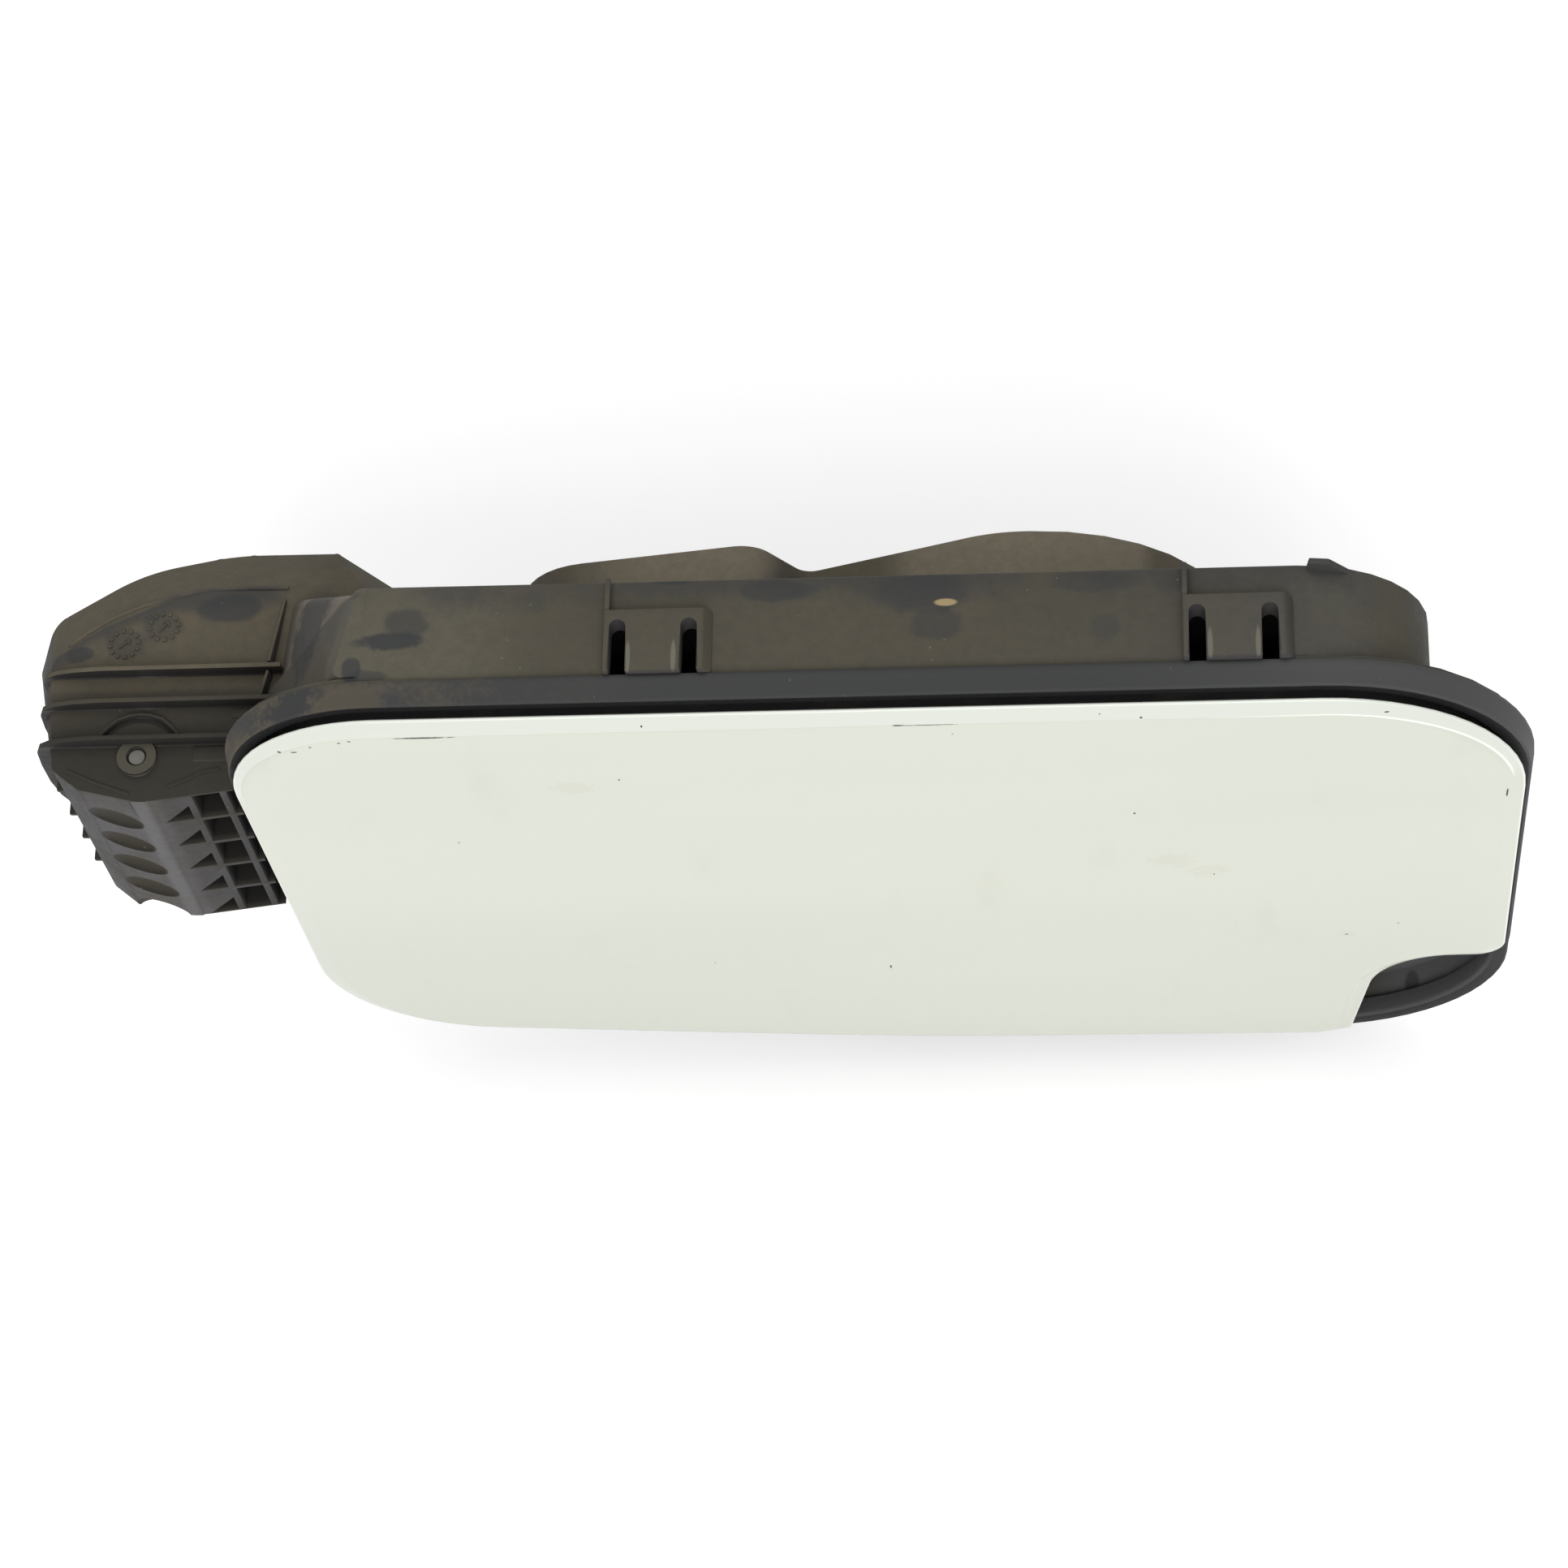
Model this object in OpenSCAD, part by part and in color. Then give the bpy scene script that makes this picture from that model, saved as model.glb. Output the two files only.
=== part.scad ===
// Fuel door of a van: a painted outer flap on a gooseneck hinge, and the
// moulded housing behind it with pots for a fuel neck and an additive neck.
// +X runs along the flap away from its hinge, +Y into the vehicle and +Z up.
// The origin is the middle of the body opening, in the plane of its edge.

/* [Flap] */
// Length of the flap
door_w = 264; // [250:1:280]
// Height of the flap at its tall end
door_h = 176; // [166:1:186]
// How much shorter the flap is at its hinge end
door_rake = 18; // [10:1:24]
// Radius of the upper corner away from the hinge
tall_corner_r = 42; // [34:1:48]
// Radius of the corners on the hinge side
hinge_corner_r = 33; // [26:1:38]
// Width of the finger notch
notch_w = 29; // [24:1:34]
// Height of the finger notch
notch_h = 45; // [38:1:52]
// Width of the rolled edge around the flap
hem_w = 3.4; // [2.5:0.1:4.5]
// How far the face stands proud of its rolled edge
hem_rise = 1.8; // [1:0.1:2.4]
// Swell of the face at its middle
crown = 1.6; // [0.5:0.1:2.5]
// Thickness of the painted skin
skin_t = 1.2; // [0.9:0.1:1.6]
// Thickness of the inner panel
carrier_t = 2; // [1.6:0.1:2.4]

/* [Housing] */
// Wall thickness of the housing
wall = 2.2; // [1.8:0.1:2.6]
// Depth of the main bowl
bowl_depth = 29; // [26:0.5:32]
// Depth of the neck pots
pot_depth = 56; // [50:0.5:60]
// Width of the shelf between the bowl and the opening at the free end
shelf_w = 20; // [17:0.5:23]
// Depth of the finger cup
cup_depth = 15; // [13:0.5:18]
// Radius of the fuel pot
fuel_pot_r = 40; // [38:0.5:42]
// Radius of the fuel neck that passes through
fuel_neck_r = 27; // [24:0.5:29]
// Radius of the additive neck that passes through
additive_neck_r = 16; // [14:0.5:17.5]
// Outer radius of the water drain spigot
drain_r = 5; // [4:0.5:6]

/* [Seal] */
// How far the seal stands out past the housing wall
lip_reach = 1.2; // [0.8:0.1:2]
// Depth of the front edge of the seal
lip_front = 2.2; // [2:0.1:2.6]
// Depth of the back edge of the seal
lip_back = 7.8; // [7.4:0.1:8.6]

/* [Hinge] */
// Distance from the flap edge to the hinge axis
hinge_out = 24.2; // [23:0.2:26]
// Depth of the hinge axis
hinge_y = 14.4; // [14:0.1:15]
// Height of the hinge compartment
hinge_h = 60; // [58:0.5:64]
// Height of the middle of the hinge compartment
hinge_z = 12.4; // [10:0.2:14]
// Radius of the hinge pin
pin_r = 1.7; // [1.4:0.1:2]
// Inner radius of the gooseneck
neck_r = 31; // [30.6:0.1:32]
// Thickness of the gooseneck
neck_t = 7; // [5.5:0.5:8]
// Direction of the leg from the pin to the gooseneck, in degrees
leg_angle = 110; // [104:1:114]
// Width of the gooseneck along the pin
neck_w = 41; // [38:1:42]
// Number of grid rows in the front of the compartment
grid_rows = 5; // [4:1:6]
// Height of the stiffening fins
fin_h = 3.8; // [2.5:0.1:5]

/* [Clips] */
// Width of a clip pad
pad_w = 20; // [17:0.5:22]
// Height of a clip pad above the wall
pad_h = 2.4; // [1.6:0.1:3]
// Width of the slots beside each clip
slot_w = 3.3; // [2.6:0.1:4]

/* [Hidden] */
$fn = 64;
fit = 0.05;
gap = 0.3;
arc_steps = 8;
far = 400;

left = -door_w / 2;
right = door_w / 2;
top = door_h / 2;
hinge_x = left - hinge_out;
comp_top = hinge_z + hinge_h / 2;

// Depths of the flap, from the turned edge of its skin inwards
hem_turn = 0;
hem_back = hem_rise;
carrier_y = hem_back + fit;
carrier_back = carrier_y + carrier_t;

// Depths of the housing rim
rim_y = 5.25;
shelf_y = 7;
shelf_back = 9;
bowl_grow = 1;
bowl_in = bowl_grow - wall;

// Water drain below the bowl
drain_y = 20;
drain_l = 11;
drain_z = -top - 12;

// Fins and front of the hinge compartment
fin_y = [17.8, 26.5, 34];
fin_t = 1.2;
grid_rib = 1.4;
scoop_w = 12.6;
scoop_h = 8;
scoop_deep = 3;
tab_x = 88;

// Sections of the gooseneck arm
eye_r = 5.5;
leg_t = 7;
leg_in = 3.8;

// Places of the clip pads along the top wall
clip_x = [-41.5, 73.5];
pad_l = 13.7;

// Inset of the inner panel and size of its ribs
carrier_in = 5.2;
rib_t = 1.6;
rib_h = 4.6;

// Places, height and radius of the rubber stops behind the flap
stops = [[right - 34, top - 34], [right - 59, 22 - top], [left + 26, top - 40], [left + 26, 35 - top]];
stop_h = 5;
stop_r = 5;

// Neck centres, seen from the front
fuel_x = 31;
fuel_z = 13;
additive_x = -48;
additive_z = 12;

// Corners of the flap: x, z and radius, anticlockwise
door_corners = [
    [left + 1.5, door_rake - 0.4 - top, hinge_corner_r + 6],
    [4, 3 - top, 600],
    [right - notch_w - 11, 1.1 - top, 12],
    [right - notch_w - 3.4, 4 - top, 0.8],
    [right - notch_w + 2.3, notch_h + 0.4 - top, 18],
    [right, notch_h + 0.5 - top, 6.5],
    [right, top - 1, tall_corner_r],
    [left, top, hinge_corner_r]
];

// The opening is the flap without its notch
opening_corners = [
    door_corners[0], door_corners[1],
    [right, -2.6 - top, tall_corner_r - 2],
    door_corners[6], door_corners[7]
];

// The bowl stops short of the opening at its free end
function lower(x) = 3 - top - 5.6 * (x - 4) / (right - 4);
bowl_corners = [
    door_corners[0], door_corners[1],
    [right - notch_w - 11, lower(right - notch_w - 11), 10],
    [right - notch_w - 8, notch_h + 6 - top, 16],
    [right - shelf_w, notch_h + 8 - top, 8],
    [right - shelf_w, top - 1, 26],
    [left + 30.6, top, 2.5],
    [left + 2, comp_top - 2.5, 4]
];

// The two neck pots share one outline
pot_corners = [
    [additive_x - 27, additive_z - 36, 18],
    [additive_x + 16, additive_z - 36, 18],
    [fuel_x - 16, fuel_z - fuel_pot_r, 20],
    [fuel_x + fuel_pot_r, fuel_z - fuel_pot_r, fuel_pot_r - 1],
    [fuel_x + fuel_pot_r, fuel_z + fuel_pot_r, fuel_pot_r - 1],
    [fuel_x - 6, fuel_z + fuel_pot_r, 30],
    [additive_x + 31, additive_z + 24, 6],
    [additive_x + 21.5, additive_z + 38.5, 5],
    [additive_x - 27, additive_z + 30, 15]
];

// Plan of the hinge compartment at its full width and at its top and bottom
comp_front = [
    [hinge_x - 12.4, hinge_y - 6.9, 1],
    [hinge_x + 0.8, hinge_y - 10.2, 12],
    [hinge_x + 20.8, hinge_y - 7.7, 0.5],
    [hinge_x + 28, hinge_y - 4.6, 2]
];
comp_end = [hinge_x - 18.4, hinge_y - 2, 3];
comp_corners = concat(comp_front, [
    [hinge_x + 58, hinge_y + 38, 4],
    [hinge_x + 38.4, hinge_y + 51.8, 2],
    [hinge_x + 16.2, hinge_y + 52, 60],
    [hinge_x - 3.8, hinge_y + 48.2, 40],
    [hinge_x - 22.6, hinge_y + 36.6, 8],
    [hinge_x - 24.6, hinge_y + 24, 3],
    [hinge_x - 19.4, hinge_y + 15.6, 4],
    comp_end
]);
lid_corners = concat(comp_front, [
    [hinge_x + 52, hinge_y + 35.2, 3],
    [hinge_x + 29.2, hinge_y + 40.4, 26],
    [hinge_x + 9.2, hinge_y + 39, 40],
    [hinge_x - 9.8, hinge_y + 30.6, 40],
    [hinge_x - 20.4, hinge_y + 23, 3],
    comp_end
]);
shoulder = 8;

// The flank between the top wall and the hinge compartment, at its top and its foot
flank_top = [
    [left + 25.6, shelf_back + 0.2, 1.5],
    [right - 225, shelf_back + 0.2, 1],
    [right - 225, bowl_depth - 0.6, 1],
    [left + 29.4, bowl_depth - 1.8, 2]
];
flank_foot = [
    [left + 1, shelf_back + 0.2, 1.5],
    [right - 225, shelf_back + 0.2, 1],
    [right - 225, bowl_depth - 0.6, 1],
    [hinge_x + 50, hinge_y + 35, 2],
    [hinge_x + 29.4, hinge_y + 39, 2]
];

function cross2(a, b) = a.x * b.y - a.y * b.x;
function unit(v) = v / norm(v);
function spun(v, a) = [v.x * cos(a) - v.y * sin(a), v.x * sin(a) + v.y * cos(a)];
function at(list, i) = list[(i + len(list)) % len(list)];
function flat(p) = [p.x, p.y];

// The corner b, with the edges a-b and b-c both moved outwards by grow
function moved(a, b, c, grow) =
    let (u = unit(b - a), v = unit(c - b),
         n = [u.y, -u.x] * grow, m = [v.y, -v.x] * grow)
    b + n + u * (cross2(m - n, v) / cross2(u, v));

// Points of the round that replaces the corner b
function rounded(a, b, c, r, grow) =
    let (u = unit(b - a), v = unit(c - b),
         turn = atan2(cross2(u, v), u * v), side = sign(turn),
         radius = max(r + grow * side, 0.4),
         start = b - u * (radius * tan(abs(turn) / 2)),
         centre = start + [-u.y, u.x] * side * radius)
    [for (i = [0 : arc_steps]) centre + spun(start - centre, turn * i / arc_steps)];

// A closed outline through rounded corners, moved outwards by grow
function outline(corners, grow = 0) =
    let (n = len(corners), p = [for (i = [0 : n - 1])
        moved(flat(at(corners, i - 1)), flat(corners[i]), flat(at(corners, i + 1)), grow)])
    [for (i = [0 : n - 1])
        each rounded(at(p, i - 1), p[i], at(p, i + 1), corners[i].z, grow)];

// Extrudes a front view from depth y0 to depth y1
module slab(y0, y1) {
    translate([0, y1, 0]) rotate([90, 0, 0]) linear_extrude(y1 - y0) children();
}

module front(corners, y0, y1, grow = 0) {
    slab(y0, y1) polygon(outline(corners, grow));
}

// A closed band: each section point [grow, y] is carried round the outline
module swept_ring(corners, section) {
    n = len(outline(corners));
    m = len(section);
    points = [for (s = section) each [for (p = outline(corners, s.x)) [p.x, s.y, p.y]]];
    faces = [for (j = [0 : m - 1]) each [for (i = [0 : n - 1])
        let (a = j * n + i, b = j * n + (i + 1) % n,
             c = ((j + 1) % m) * n + (i + 1) % n, d = ((j + 1) % m) * n + i)
        each [[a, b, c], [a, c, d]]]];
    polyhedron(points, faces, convexity = 6);
}

module hinge_frame() {
    translate([hinge_x, hinge_y, 0]) children();
}

// A plan view extruded between two heights
module plan(corners, z0, z1, grow = 0) {
    translate([0, 0, z0]) linear_extrude(z1 - z0) polygon(outline(corners, grow));
}

// The hinge compartment, with shoulders that narrow to its top and bottom.
// It steps back behind the seal.
module compartment_form(grow) {
    half = hinge_h / 2 + grow;
    waist = hinge_h / 2 - shoulder + grow;
    difference() {
        union() {
            plan(comp_corners, hinge_z - waist, hinge_z + waist, grow);
            for (side = [-1, 1]) hull() {
                plan(comp_corners, hinge_z + side * waist - 0.05, hinge_z + side * waist + 0.05, grow);
                plan(lid_corners, hinge_z + side * (half - 0.05) - 0.05,
                    hinge_z + side * (half - 0.05) + 0.05, grow);
            }
        }
        translate([hinge_x + 20.8 + grow, -far, -far])
            cube([far, far + shelf_back + 0.1 - grow, 2 * far]);
    }
}

// The flank that falls from the top wall to the top of the hinge compartment
module flank_form(grow) {
    hull() {
        plan(flank_top, top + bowl_grow + grow - 0.3, top + bowl_grow + grow - 0.2, grow);
        plan(flank_foot, comp_top - 4.1, comp_top - 4, grow);
    }
}

// Fins that wrap over the top and the end of the hinge compartment
module fins() {
    low = hinge_z - hinge_h / 2;
    for (y = fin_y)
        slab(y - fin_t / 2, y + fin_t / 2) polygon([
            [hinge_x - 17, low + 29], [hinge_x - 20.4, low + 32], [hinge_x - 22, low + 37],
            [hinge_x - 22.8, low + 44], [hinge_x - 22.8, low + 52], [hinge_x - 22.4, comp_top - 2.6],
            [hinge_x - 21.2, comp_top + 0.6], [hinge_x - 18.6, comp_top + 2.4],
            [hinge_x - 14.5, comp_top + fin_h - 0.5], [hinge_x - 9, comp_top + fin_h],
            [hinge_x + 30, comp_top + fin_h], [hinge_x + 30, comp_top - 1.2], [hinge_x - 17, comp_top - 1.2]
        ]);
    for (row = [1 : grid_rows - 1])
        translate([hinge_x - 20, hinge_y - 1.5, low + row * hinge_h / grid_rows - fin_t / 2])
            cube([3, 18, fin_t]);
}

// Bosses that hold the ends of the hinge pin
module pin_bosses() {
    eye_half = neck_w / 2 + 0.5;
    hinge_frame() for (side = [-1, 1]) mirror([0, 0, side < 0 ? 1 : 0])
        translate([0, 0, side * hinge_z + eye_half])
            cylinder(h = hinge_h / 2 + 1.4 - eye_half, r = 4.2);
}

module pin_bores() {
    hinge_frame() {
        translate([0, 0, hinge_z - hinge_h / 2 - 1])
            cylinder(h = hinge_h + 1.4, r = pin_r);
        translate([0, 0, comp_top + 0.2]) cylinder(h = 3, r = 2.2);
    }
}

// The front of the compartment behind the grid cells and the scoops
module grid_block() {
    translate([hinge_x, hinge_y, hinge_z - hinge_h / 2 + 1]) linear_extrude(hinge_h - 2) {
        polygon([[4, -8.6], [20.2, -6.7], [20.2, 1.2], [10.5, -2], [4, -6.4]]);
        polygon([[-12.6, -5.9], [0.5, -9.2], [1, -6.2], [-12, -3]]);
    }
}

// One lens-shaped scoop in the front, near the end wall
module scoop(z) {
    hinge_frame() translate([-6.5, -9, z]) rotate([0, 0, -14]) rotate([0, 13, 0])
        scale([scoop_w / 2, scoop_deep, scoop_h / 2]) sphere(1, $fn = 40);
}

// Open cells, wedges and scoops across the front of the compartment
module grid_cuts() {
    pitch = hinge_h / grid_rows;
    for (row = [0 : grid_rows - 1]) {
        low = hinge_z - hinge_h / 2 + row * pitch + grid_rib / 2;
        high = low + pitch - grid_rib;
        slab(hinge_y - 12, hinge_y - 3.2) polygon([
            [hinge_x + 12.1, low], [hinge_x + 17.7, low], [hinge_x + 17.7, high], [hinge_x + 12.1, high]
        ]);
        slab(hinge_y - 12, hinge_y - 1.6) polygon([
            [hinge_x + 19.4, low], [hinge_x + 22, low], [hinge_x + 22, high], [hinge_x + 19.4, high]
        ]);
        slab(hinge_y - 12, hinge_y - 6.3) polygon([
            [hinge_x + 4.8, low], [hinge_x + 10.4, low], [hinge_x + 10.4, low + pitch * 0.5]
        ]);
        scoop(low);
    }
}

// Stands a child on the top wall of the bowl, just behind the seal
module on_top(x) {
    translate([x, lip_back + fit, top + bowl_grow]) children();
}

// A raised pad around a snap tongue, with a thin rib from its corner to the wall's edge
module clip_pad() {
    translate([0, pad_l, 0]) rotate([90, 0, 0]) linear_extrude(pad_l)
        polygon([[-pad_w / 2, -wall / 2], [pad_w / 2 + 1.6, -wall / 2], [pad_w / 2 + 1.6, 0],
            [pad_w / 2, pad_h], [-pad_w / 2, pad_h]]);
    translate([-pad_w / 2, pad_l - 1, -wall / 2])
        cube([1.1, bowl_depth - lip_back - fit - pad_l + 1, wall / 2 + pad_h - 0.5]);
}

// The slots that free each side of a snap tongue
module clip_slots() {
    for (side = [-1, 1]) translate([side * (pad_w / 2 - slot_w / 2 - 1.2), 0, 0])
        linear_extrude(4 * wall + 2 * pad_h, center = true) {
            translate([-slot_w / 2, -1]) square([slot_w, pad_l - 3]);
            translate([0, pad_l - 4]) circle(slot_w / 2);
        }
}

// Posts in the bowl that the rubber stops of the flap meet
module stop_posts() {
    post_y = carrier_back + fit + stop_h + gap;
    for (p = stops) slab(post_y, bowl_depth - wall / 2) translate(p) circle(4.5);
}

// A small tab on the back edge of the top wall
module end_tab() {
    slab(bowl_depth - 1.4, bowl_depth) polygon([
        [tab_x, top - 1], [tab_x + 0.6, top + 3.2], [tab_x + 4.6, top + 2.6], [tab_x + 9.4, top - 3]
    ]);
}

// The shallow cup that fingers reach into behind the notch
module cup_form(y0, y1, grow, edge) {
    intersection() {
        front(opening_corners, y0, y1, grow);
        translate([right - notch_w - 12 - edge, y0, -top - 20])
            cube([notch_w + 40, y1 - y0, notch_h + 32 + edge]);
    }
}

module housing_outside() {
    front(bowl_corners, shelf_y, bowl_depth, bowl_grow);
    front(opening_corners, rim_y, shelf_back, bowl_grow);
    cup_form(shelf_y, cup_depth, bowl_grow, 0);
    front(pot_corners, bowl_depth - wall, pot_depth, wall);
    compartment_form(0);
    flank_form(0);
}

module housing_inside() {
    front(bowl_corners, rim_y - 1, bowl_depth - wall, bowl_in);
    front(opening_corners, rim_y - 1, shelf_y, bowl_in);
    difference() {
        cup_form(rim_y - 1, cup_depth - wall, bowl_in, -wall);
        front(bowl_corners, 0, bowl_depth, bowl_grow);
    }
    front(pot_corners, bowl_depth - 2 * wall, pot_depth - wall);
    compartment_form(-wall);
    intersection() {
        flank_form(-wall);
        translate([-far, bowl_depth, comp_top - 8]) cube(2 * far);
    }
}

module housing() color([0.27, 0.27, 0.26]) {
    difference() {
        union() {
            difference() {
                housing_outside();
                housing_inside();
            }
            pin_bosses();
            grid_block();
            fins();
            stop_posts();
            for (x = clip_x) on_top(x) clip_pad();
            translate([0, drain_y, drain_z]) cylinder(h = drain_l + 1, r = drain_r);
            translate([0, drain_y, drain_z + drain_l]) cylinder(h = 6, r = drain_r + 2);
            end_tab();
        }
        pin_bores();
        grid_cuts();
        for (x = clip_x) on_top(x) clip_slots();
        translate([0, drain_y, drain_z - 1]) cylinder(h = drain_l + 20, r = drain_r - 1.4);
        translate([fuel_x, pot_depth + 5, fuel_z]) rotate([90, 0, 0])
            cylinder(h = 12, r = fuel_neck_r + 4);
        translate([additive_x, pot_depth + 5, additive_z]) rotate([90, 0, 0])
            cylinder(h = 12, r = additive_neck_r + 3);
        translate([right - shelf_w - wall - 4, hinge_y, hinge_z]) rotate([0, 90, 0])
            cylinder(h = 12, r = 6);
    }
}

module seal_lip() color([0.17, 0.18, 0.19])
    swept_ring(opening_corners, [
        [bowl_in - 1.4, rim_y + 1.6],
        [bowl_in - 1.4, lip_front + 1.2],
        [bowl_in - 0.3, lip_front + 0.2],
        [bowl_grow - 0.2, lip_front],
        [bowl_grow + lip_reach, lip_front + 4.3],
        [bowl_grow + lip_reach, lip_back],
        [bowl_grow + fit, lip_back],
        [bowl_grow + fit, rim_y - fit],
        [bowl_in - fit, rim_y - fit],
        [bowl_in - fit, rim_y + 1.6]
    ]);

// A grommet in the back of a pot, grooved to snap into its hole
module gasket(x, z, neck, seat) {
    translate([x, pot_depth - wall / 2, z]) rotate([90, 0, 0]) rotate_extrude($fn = 96)
        polygon([
            [neck, -5], [neck + 1.6, -6], [seat + 2.5, -wall / 2 - 1.8],
            [seat + 2.5, -wall / 2 - fit], [seat - fit, -wall / 2 - fit],
            [seat - fit, wall / 2 + fit], [seat + 2, wall / 2 + fit],
            [seat + 2, wall / 2 + 1.6], [neck, wall / 2 + 2.6]
        ]);
}

module fuel_neck_gasket() color([0.1, 0.1, 0.1])
    gasket(fuel_x, fuel_z, fuel_neck_r, fuel_neck_r + 4);

module additive_neck_gasket() color([0.1, 0.1, 0.1])
    gasket(additive_x, additive_z, additive_neck_r, additive_neck_r + 3);

module hinge_pin() color([0.55, 0.53, 0.5])
    hinge_frame() translate([0, 0, hinge_z - hinge_h / 2 - 0.6])
        cylinder(h = hinge_h + 1.4, r = pin_r - 0.01);

module lock_bush() color([0.12, 0.12, 0.12])
    translate([right - shelf_w + bowl_in - 3, hinge_y, hinge_z]) rotate([0, 90, 0])
        rotate_extrude() polygon([
            [4, 0], [7.5, 0], [7.5, 3 - fit], [6 - fit, 3 - fit],
            [6 - fit, 3 + wall + 2], [4, 3 + wall + 2]
        ]);

// Spring wire wound between the two knuckles of the arm
wire_r = 0.8;
coil_r = 4.4;
coil_turns = 5;
wire_steps = 14;
wire_sides = 6;
coil_pitch = 2 * wire_r + 0.25;

// One end runs along the leg of the arm, the other bears on the front wall
function spring_path() =
    let (rise = coil_turns * coil_pitch / 2, first = leg_angle - 90)
    concat(
        [[each spun([coil_r, 24], first), -rise]],
        [for (i = [0 : coil_turns * wire_steps]) let (a = first + (360 * coil_turns - first) * i / (coil_turns * wire_steps))
            [coil_r * cos(a), coil_r * sin(a), rise * (2 * i / (coil_turns * wire_steps) - 1)]],
        [[coil_r, -5.4, rise]]);

// A round wire swept along a path
module wire(path, r, sides) {
    n = len(path);
    rings = [for (i = [0 : n - 1])
        let (t = unit(path[min(i + 1, n - 1)] - path[max(i - 1, 0)]),
             u = unit(cross(t, [0, 0, 1])), v = cross(t, u))
        each [for (k = [0 : sides - 1])
            path[i] + r * (u * cos(360 * k / sides) + v * sin(360 * k / sides))]];
    faces = concat([[for (k = [0 : sides - 1]) k]],
        [[for (k = [sides - 1 : -1 : 0]) (n - 1) * sides + k]],
        [for (i = [0 : n - 2]) each [for (k = [0 : sides - 1])
            let (a = i * sides + k, b = i * sides + (k + 1) % sides)
            each [[a, a + sides, b + sides], [a, b + sides, b]]]]);
    polyhedron(rings, faces, convexity = 10);
}

module hold_open_spring() color([0.6, 0.6, 0.58])
    hinge_frame() translate([0, 0, hinge_z]) wire(spring_path(), wire_r, wire_sides);

// Numbers of steps along each run of the flap's outline
runs = [for (i = [0 : len(outline(door_corners)) - 1])
    let (p = outline(door_corners)) max(1, ceil(norm(at(p, i + 1) - p[i]) / 16))];

// An outline of the flap with its long runs split into steps
function dense(points) = [for (i = [0 : len(points) - 1]) each [for (k = [0 : runs[i] - 1])
    points[i] + (at(points, i + 1) - points[i]) * k / runs[i]]];

// Nested outlines of the flap skin, outside from hem to middle and back again
function inward(points, share) = [for (p = points)
    [p.x + (min(max(p.x, -0.4 * right), 0.3 * right) - p.x) * share, p.y * (1 - share)]];
function swell(p) = crown * max(0, 1 - pow(p.x / right, 2)) * max(0, 1 - pow(p.y / top, 2));
function domed(points, y) = [for (p = points) [p.x, y - swell(p), p.y]];
shares = [0, 0.14, 0.34, 0.58, 0.82, 0.97];
function skin_rings() =
    let (edge = dense(outline(door_corners)), bend = dense(outline(door_corners, -hem_w * 0.3)),
         face = dense(outline(door_corners, -hem_w)), inner = dense(outline(door_corners, -8)),
         fold = dense(outline(door_corners, -3.6)), last = len(shares) - 1)
    concat(
        [[for (p = edge) [p.x, hem_turn, p.y]],
         [for (p = edge) [p.x, hem_turn - 0.6, p.y]],
         [for (p = bend) [p.x, -hem_rise * 0.56, p.y]]],
        [for (i = [0 : last]) domed(inward(face, shares[i]), -hem_rise)],
        [for (i = [last : -1 : 0]) domed(inward(inner, shares[i]), skin_t - hem_rise)],
        [[for (p = inner) [p.x, hem_back, p.y]],
         [for (p = fold) [p.x, hem_back, p.y]],
         [for (p = fold) [p.x, hem_turn, p.y]]]);

// Joins rings of points into one closed skin; the two small rings at the middle are capped
module lofted(rings, cap) {
    n = len(rings[0]);
    m = len(rings);
    bands = [for (j = [0 : m - 1]) if (j != cap) each [for (i = [0 : n - 1])
        let (a = j * n + i, b = j * n + (i + 1) % n,
             c = ((j + 1) % m) * n + (i + 1) % n, d = ((j + 1) % m) * n + i)
        each [[a, b, c], [a, c, d]]]];
    lids = [[for (i = [0 : n - 1]) cap * n + i], [for (i = [n - 1 : -1 : 0]) (cap + 1) * n + i]];
    polyhedron([for (r = rings) each r], concat(bands, lids), convexity = 4);
}

module flap_skin() color([0.88, 0.89, 0.85]) lofted(skin_rings(), len(shares) + 2);

// The gooseneck: eye, leg, curved neck and the foot that joins the inner panel
module arm_side() {
    hinge_frame() {
        cylinder(h = neck_w, r = eye_r);
        rotate([0, 0, leg_angle]) translate([leg_in, -leg_t / 2, 0])
            cube([neck_r + 1 - leg_in, leg_t, neck_w]);
        difference() {
            union() {
                intersection() {
                    cylinder(h = neck_w, r = neck_r + neck_t, $fn = 128);
                    linear_extrude(neck_w) polygon([
                        [0, 0], spun([far, 0], -24), [far, 0], [far, far],
                        [0, far], spun([far, 0], leg_angle + 6)
                    ]);
                }
                translate([neck_r - 4, carrier_back - hinge_y - 0.5, 0]) cube([26, 7, neck_w]);
            }
            translate([0, 0, -1]) cylinder(h = neck_w + 2, r = neck_r, $fn = 128);
            translate([-far, carrier_y - hinge_y - far, -1]) cube([2 * far, far, neck_w + 2]);
        }
    }
}

// Stiffening ribs on the back of the inner panel
module carrier_ribs() {
    for (x = [-0.53 : 0.3 : 0.7]) translate([x * right, carrier_y, -0.68 * top])
        cube([rib_t, rib_h, 1.42 * top]);
    for (z = [-0.52 : 0.4 : 0.7]) translate([-0.9 * right, carrier_y, z * top])
        cube([1.74 * right, rib_h, rib_t]);
}

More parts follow.
